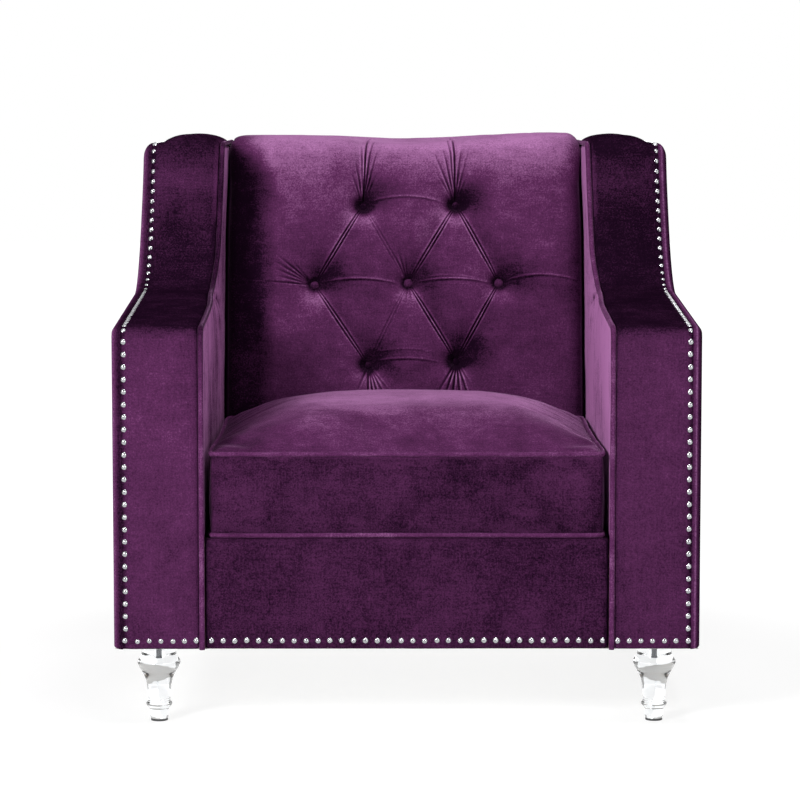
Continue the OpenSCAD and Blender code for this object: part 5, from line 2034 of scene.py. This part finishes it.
@dataclass
class NailTrim:
    """Rows of domed chrome nails along the arms, the wings and the bottom edge."""

    shop: Workshop
    diameter: float = 8.8
    height: float = 2.4
    sunk: float = 0.6
    pressed_in: float = 1.0
    in_front: float = 2.6
    tilt: float = 0.36
    in_wing: float = 2.4
    low_pitch: float = 17.2
    low_count: int = 6
    x_low_end: float = 304.8
    sizes: ChairSizes = SIZES

    def head(self) -> tuple[Array, list[list[int]]]:
        """One nail's points, its dome towards +z, and its faces.

        Returns:
            Points and faces.
        """
        radius = ((self.diameter / 2) ** 2 + self.height ** 2) / (2 * self.height)
        reach = math.asin(self.diameter / 2 / radius)
        a = np.linspace(0, reach, 5)
        dome = np.column_stack([radius * np.sin(a), radius * np.cos(a) - radius + self.height])
        line = np.vstack([dome, [[self.diameter / 2 - 0.3, -self.sunk], [0.0, -self.sunk]]])
        one = spun("nail", line, (0.0, 0.0), 14)
        points = read_points(one)
        faces = [list(p.vertices) for p in one.data.polygons]
        bpy.data.objects.remove(one)
        return points, faces

    def row(self, name: str, places: Array, outs: Array, node: str, seed: int) -> None:
        """Sets a row of nails, each a little off its mark, and places it.

        Args:
            name: Name of the piece.
            places: Where the nails meet the cloth.
            outs: Which way each faces.
            node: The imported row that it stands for.
            seed: Fixes the unevenness.
        """
        rng = np.random.default_rng(seed)
        one, faces = self.head()
        points = []
        for place, out in zip(places, outs):
            out = out + rng.normal(0, 0.014, 3)
            out /= np.linalg.norm(out)
            side = np.cross(out, [0.13, 0.71, 0.69])
            side /= np.linalg.norm(side)
            turn = np.vstack([side, np.cross(out, side), out])
            points.append(one @ turn + place + rng.normal(0, 0.22, 3) * (1 - np.abs(out)))
        piece = new_piece(name, leaned(np.vstack(points)),
                          copied_faces(faces, len(one), len(points)))
        select_only(piece)
        bpy.ops.object.shade_smooth_by_angle(angle=math.radians(40))
        # The chrome's colours are kept dark grey, painted shade in place of the dark surroundings
        # that real chrome would mirror; it still mirrors the lamps.
        chrome = Metal("nail_chrome", (0.48, 0.48, 0.50), (0.27, 0.27, 0.29), 0.10, 900.0)
        self.shop.place(piece, chrome, "nail_chrome", nodes=[node])

    def build(self) -> None:
        """Builds the rows of both arms and of the apron."""
        s, m = self.sizes, OUTLINE.marks()
        line = OUTLINE.line(0.0, s.nail_z)[:m["rear"] + 1]
        run = run_lengths(line)
        pitch = through([(0, s.nail_pitch), (m["top"], s.nail_pitch), (m["sweep"], 16.5),
                         (m["wing"], 14.6), (m["corner"], 16.4), (m["rear"], 16.4)],
                        np.arange(len(line)))
        count = np.concatenate([[0.0], np.cumsum(np.diff(run) / (0.5 * (pitch[1:] + pitch[:-1])))])
        marks = np.interp(np.linspace(0, count[-1], int(count[-1]) + 1), count, run)
        at = np.column_stack([np.interp(marks, run, line[:, k]) for k in range(2)])
        ahead = np.column_stack([np.interp(marks + 1, run, line[:, k])
                                 - np.interp(marks - 1, run, line[:, k]) for k in range(2)])
        ahead /= np.linalg.norm(ahead, axis=1)[:, None]
        on_top = np.clip(ahead[:, 0] * 1.6 - 0.5, 0, 1)
        pressed = self.pressed_in * (on_top + 0.7 * np.clip(ahead[:, 1], 0, 1))
        at -= pressed[:, None] * np.column_stack([-ahead[:, 1], ahead[:, 0]])
        low = np.linspace(s.x_nail - self.in_front - 1.0, self.x_low_end, self.low_count + 1)[1:]
        aside = np.interp(at[:, 1], [560, 640], [self.in_front, self.in_wing])
        places = np.vstack([
            np.column_stack([s.x_nail - aside, at]),
            np.column_stack([low, np.zeros(len(low)), np.full(len(low), s.nail_z)])])
        tilt = self.tilt * (np.arange(len(at)) > 0)
        outs = np.vstack([np.column_stack([tilt, -ahead[:, 1], ahead[:, 0]]),
                          np.tile([0.0, -1.0, 0.0], (len(low), 1))])
        for side in Side:
            self.row(f"{side.word}_chrome_nails", mirrored(places, side), mirrored(outs, side),
                     f"{side.word}_nailheads", 81 + side.value)
        count = int((2 * s.x_apron - 10) // self.low_pitch) + 1
        x = (np.arange(count) - (count - 1) / 2) * self.low_pitch
        places = np.column_stack([x, np.full(count, s.apron_in), np.full(count, s.nail_z)])
        self.row("apron_chrome_nails", places, np.tile([0.0, -1.0, 0.0], (count, 1)),
                 "apron_nailheads", 84)


@dataclass
class OuterBoards:
    """Plywood sides under the outside cloth, which lean in with the wings."""

    shop: Workshop
    x0: float = 405.0
    x1: float = 423.0
    front_in: float = 14.0
    rear_in: float = 9.0
    z0: float = 117.5
    cut: float = 30.0
    sizes: ChairSizes = SIZES

    def build(self) -> None:
        """Saws, leans and places both boards."""
        s = self.sizes
        line = OUTLINE.line(self.front_in, self.z0)[:OUTLINE.marks()["rear"] + 1]
        last = s.y_rear(s.wing_h - 20) - self.rear_in
        line = np.vstack([line[line[:, 0] < last], [[last, s.wing_h - self.front_in - 4]],
                          [[s.y_rear(self.z0) - self.rear_in, self.z0]]])
        points = np.column_stack([np.full(len(line), self.x0), line])
        for side in Side:
            piece = new_piece(f"{side.word}_leaning_board", mirrored(points, side),
                              [list(range(len(line)))])
            with editing(piece):
                bpy.ops.mesh.select_all(action="SELECT")
                bpy.ops.mesh.extrude_region_move(TRANSFORM_OT_translate={
                    "value": (side.value * (self.x1 - self.x0) * MM, 0.0, 0.0)})
                bpy.ops.mesh.select_all(action="SELECT")
                bpy.ops.mesh.normals_make_consistent(inside=False)
            cut_cells(piece, self.cut, (2,))
            write_points(piece, leaned(read_points(piece)))
            bpy.ops.object.shade_smooth_by_angle(angle=math.radians(30))
            self.shop.place(piece, PLYWOOD, "plywood", nodes=[f"{side.word}_outer_board"])


@dataclass
class TurnedLegs:
    """Four clear turned legs with their bores."""

    shop: Workshop
    x: float = 363.0
    front_y: float = 52.0
    rear_in: float = 56.0
    bore_r: float = 5.2
    bore_depth: float = 24.3
    top_z: float = 114.0
    steps: int = 56
    turning: tuple[tuple[float, float], ...] = (
        (3.6, 12.6), (5, 13.2), (12, 13.9), (18, 14.4), (20.5, 16.6), (22.5, 18.6), (25, 19.2),
        (27.2, 18.4), (28.4, 16.6), (29.2, 16.2), (30.2, 17.3), (31.4, 17.3), (32.4, 16.2),
        (34, 16.4), (45, 17.0), (55, 18.3), (62, 20.0), (68, 22.6), (74, 26.0), (79, 29.0),
        (84, 31.2), (87, 31.6), (90, 30.6), (94, 27.6), (98, 25.7), (103, 25.5), (108, 26.0),
        (112.6, 26.4))

    def profile(self) -> Array:
        """Half outline from the bore's floor round to the foot, as (radius, z).

        Returns:
            Points from the axis to the axis.
        """
        z, r = np.array([p[0] for p in self.turning]), np.array([p[1] for p in self.turning])
        fine_z = np.linspace(z[0], 111.0, 134)
        fine_r = np.interp(fine_z, z, r)
        for _ in range(2):
            fine_r[1:-1] = 0.25 * fine_r[:-2] + 0.5 * fine_r[1:-1] + 0.25 * fine_r[2:]
        outer = np.column_stack([fine_r, fine_z])[::-1]
        top = [(0, self.top_z - self.bore_depth), (self.bore_r, self.top_z - self.bore_depth),
               (self.bore_r, self.top_z), (r[-1] - 1.2, self.top_z), (r[-1], self.top_z - 1.2)]
        foot = [(r[0] - 0.6, 3.0), (0, 3.0)]
        return np.vstack([top, outer, foot])

    def build(self) -> None:
        """Builds and places the legs."""
        rear_y = SIZES.y_rear(SIZES.base_z) - self.rear_in
        for end, y in (("front", self.front_y), ("rear", rear_y)):
            for side in Side:
                name = f"{end}_{side.word}"
                leg = spun(f"{name}_turned_leg", self.profile(), (side.value * self.x, y),
                           self.steps)
                self.shop.place(leg, Acrylic(), "clear_acrylic", nodes=[f"{name}_leg"])


@dataclass
class PackedPieces:
    """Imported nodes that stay, with better finishes."""

    shop: Workshop

    def build(self) -> None:
        """Gives every node that stays a finish by what it is made of."""
        zinc = Metal("zinc_plate", (0.62, 0.63, 0.66), (0.42, 0.43, 0.46), 0.3)
        spring = Metal("spring_steel", (0.20, 0.205, 0.22), (0.11, 0.11, 0.12), 0.38)
        timber = Wood("sawn_timber")
        nylon = Moulded("glide_nylon")
        finishes = {"foot_glides": nylon}
        finishes |= dict.fromkeys(("seat_springs", "tie_wires", "hanger_bolts"), spring)
        finishes |= dict.fromkeys(("frame_screws", "tee_nuts", "spring_clips", "twine_washers",
                                   "zipper_chain", "zipper_slider"), zinc)
        for name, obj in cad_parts.items():
            if not obj.hide_render:
                spec = finishes.get(name, PLYWOOD if "_board" in name else timber)
                obj.data.materials.clear()
                obj.data.materials.append(self.shop.finish(spec))


@dataclass
class Studio:
    """Camera, soft lights, white surroundings and the pale floor, in metres."""

    lens: float = 134.8
    camera_at: tuple[float, float, float] = (-0.026, -4.6843, 0.898)
    pitch: float = 5.62
    yaw: float = -0.214
    flag_grey: float = 0.30
    sky_strength: float = 0.10

    def camera(self) -> None:
        """Sets the camera where the photograph was taken."""
        data = bpy.data.cameras.new("camera")
        data.lens, data.sensor_width = self.lens, 36.0
        cam = bpy.data.objects.new("camera", data)
        cam.location = self.camera_at
        cam.rotation_euler = (math.radians(90 - self.pitch), 0.0, math.radians(self.yaw))
        bpy.context.scene.collection.objects.link(cam)
        bpy.context.scene.camera = cam

    def lamp(self, name: str, at: tuple[float, float, float], size: float, power: float,
             aim: tuple[float, float, float] = (0, 0, 0.45)) -> None:
        """Adds a square soft lamp that faces a point.

        Args:
            name: Its name.
            at: Its place.
            size: Length of its edges.
            power: Its power in watts.
            aim: The point that it faces.
        """
        data = bpy.data.lights.new(name, "AREA")
        data.shape, data.size, data.energy = "SQUARE", size, power
        obj = bpy.data.objects.new(name, data)
        obj.location = at
        obj.rotation_euler = (Vector(aim) - Vector(at)).to_track_quat("-Z", "Y").to_euler()
        bpy.context.scene.collection.objects.link(obj)

    def sheet(self, name: str, size: float, at: tuple[float, float, float],
              turn: tuple[float, float, float] = (0.0, 0.0, 0.0)) -> tuple[Obj, Graph]:
        """Adds a square sheet of the studio with a material of its own.

        Args:
            name: Name of the sheet and its material.
            size: Length of its edges in metres.
            at: Its middle.
            turn: Its turns in radians.

        Returns:
            The sheet and its material's graph.
        """
        bpy.ops.object.select_all(action="DESELECT")
        bpy.ops.mesh.primitive_plane_add(size=size, location=at, rotation=turn)
        sheet = bpy.context.object
        sheet.name = name
        g = Graph(name)
        sheet.data.materials.append(g.owner)
        return sheet, g

    def card(self) -> None:
        """Dark card behind the camera, which the chrome and the acrylic reflect."""
        card, g = self.sheet("dark_card", 1.0, (0.0, -5.4, 4.9), (math.pi / 2, 0, 0))
        card.scale = (5.0, 8.4, 1.0)
        g.shade(Base_Color=(0.01, 0.01, 0.01))
        card.visible_camera = card.visible_diffuse = card.visible_transmission = False
        card.visible_shadow = False

    def flag(self, side: Side) -> None:
        """Grey flag beside the chair, which draws the edges of the acrylic and the chrome.

        Args:
            side: Side on which it stands.
        """
        flag, g = self.sheet(f"{side.word}_flag", 1.0, (side.value * 2.6, 0.55, 0.7),
                             (0, math.pi / 2, 0))
        flag.scale = (1.9, 2.7, 1.0)
        g.feed(g.end, g.add("ShaderNodeEmission", {}, {"Strength": self.flag_grey}))
        flag.visible_camera = flag.visible_diffuse = flag.visible_shadow = False

    def seen_directly(self, g: Graph) -> Value:
        """Value that is 1 for camera, mirror and glass rays.

        Args:
            g: The graph that it is for.

        Returns:
            The value.
        """
        total = g.add("ShaderNodeLightPath", {}, {}, "Is Camera Ray")
        for kind in ("Glossy", "Transmission"):
            ray = g.add("ShaderNodeLightPath", {}, {}, f"Is {kind} Ray")
            total = total.math("MAXIMUM", total, ray)
        return total

    def surroundings(self) -> None:
        """White backdrop for what the camera sees, and a dimmer sky for light."""
        g = Graph("studio", world=True)
        bpy.context.scene.world = g.owner
        g.shade(Color=(1.0, 1.0, 1.0), Strength=self.sky_strength)
        white = g.add("ShaderNodeBackground", {}, {"Color": (1.0, 1.0, 1.0), "Strength": 1.0})
        g.mix_shaders(self.seen_directly(g), g.plain, white)

    def floor(self) -> None:
        """Pale floor that keeps the chair's shadow, with a white glow that grows away from it."""
        _, g = self.sheet("floor", 30.0, (0.0, 0.0, -0.0004))
        g.shade(Base_Color=(0.86, 0.86, 0.86), Roughness=0.9)
        away = g.add("ShaderNodeVectorMath", {"operation": "LENGTH"}, {0: g.object}, "Value")
        share = g.add("ShaderNodeMapRange", {"interpolation_type": "SMOOTHSTEP"}, {
            "Value": away, "From Min": 0.6, "From Max": 1.3, "To Min": 0.70, "To Max": 1.0})
        glow = g.add("ShaderNodeEmission", {}, {"Strength": 1.12})
        g.mix_shaders(self.seen_directly(g) * share, g.plain, glow)

    def build(self) -> None:
        """Builds the whole studio."""
        self.camera()
        self.surroundings()
        self.floor()
        self.lamp("key", (-2.12, -3.4, 2.2), 1.0, 150.0)
        self.lamp("fill", (2.3, -3.9, 1.5), 1.6, 42.0)
        self.lamp("top", (0.4, -0.9, 3.6), 1.2, 48.0)
        self.lamp("rear", (0.6, 3.8, 2.4), 2.2, 60.0)
        self.lamp("under", (0.0, 0.0, 0.004), 0.74, 0.75, (0.0, 0.0, 1.0))
        self.card()
        for side in Side:
            self.flag(side)
        bpy.context.scene.view_settings.view_transform = "Standard"


def main() -> None:
    """Builds the studio and every sub-assembly."""
    logging.basicConfig(level=logging.INFO, format="%(name)s: %(message)s")
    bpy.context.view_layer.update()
    Studio().build()
    shop = Workshop()
    back = TuftedBack(shop)
    for part in (Arm(Side.LEFT, shop), Arm(Side.RIGHT, shop), back, SeatCushion(shop),
                 FlatCovers(shop), InnerCloths(shop, back), NailTrim(shop), OuterBoards(shop),
                 TurnedLegs(shop), PackedPieces(shop)):
        part.build()
        LOG.info("%s is built", type(part).__name__)


if __name__ == "__main__":
    main()
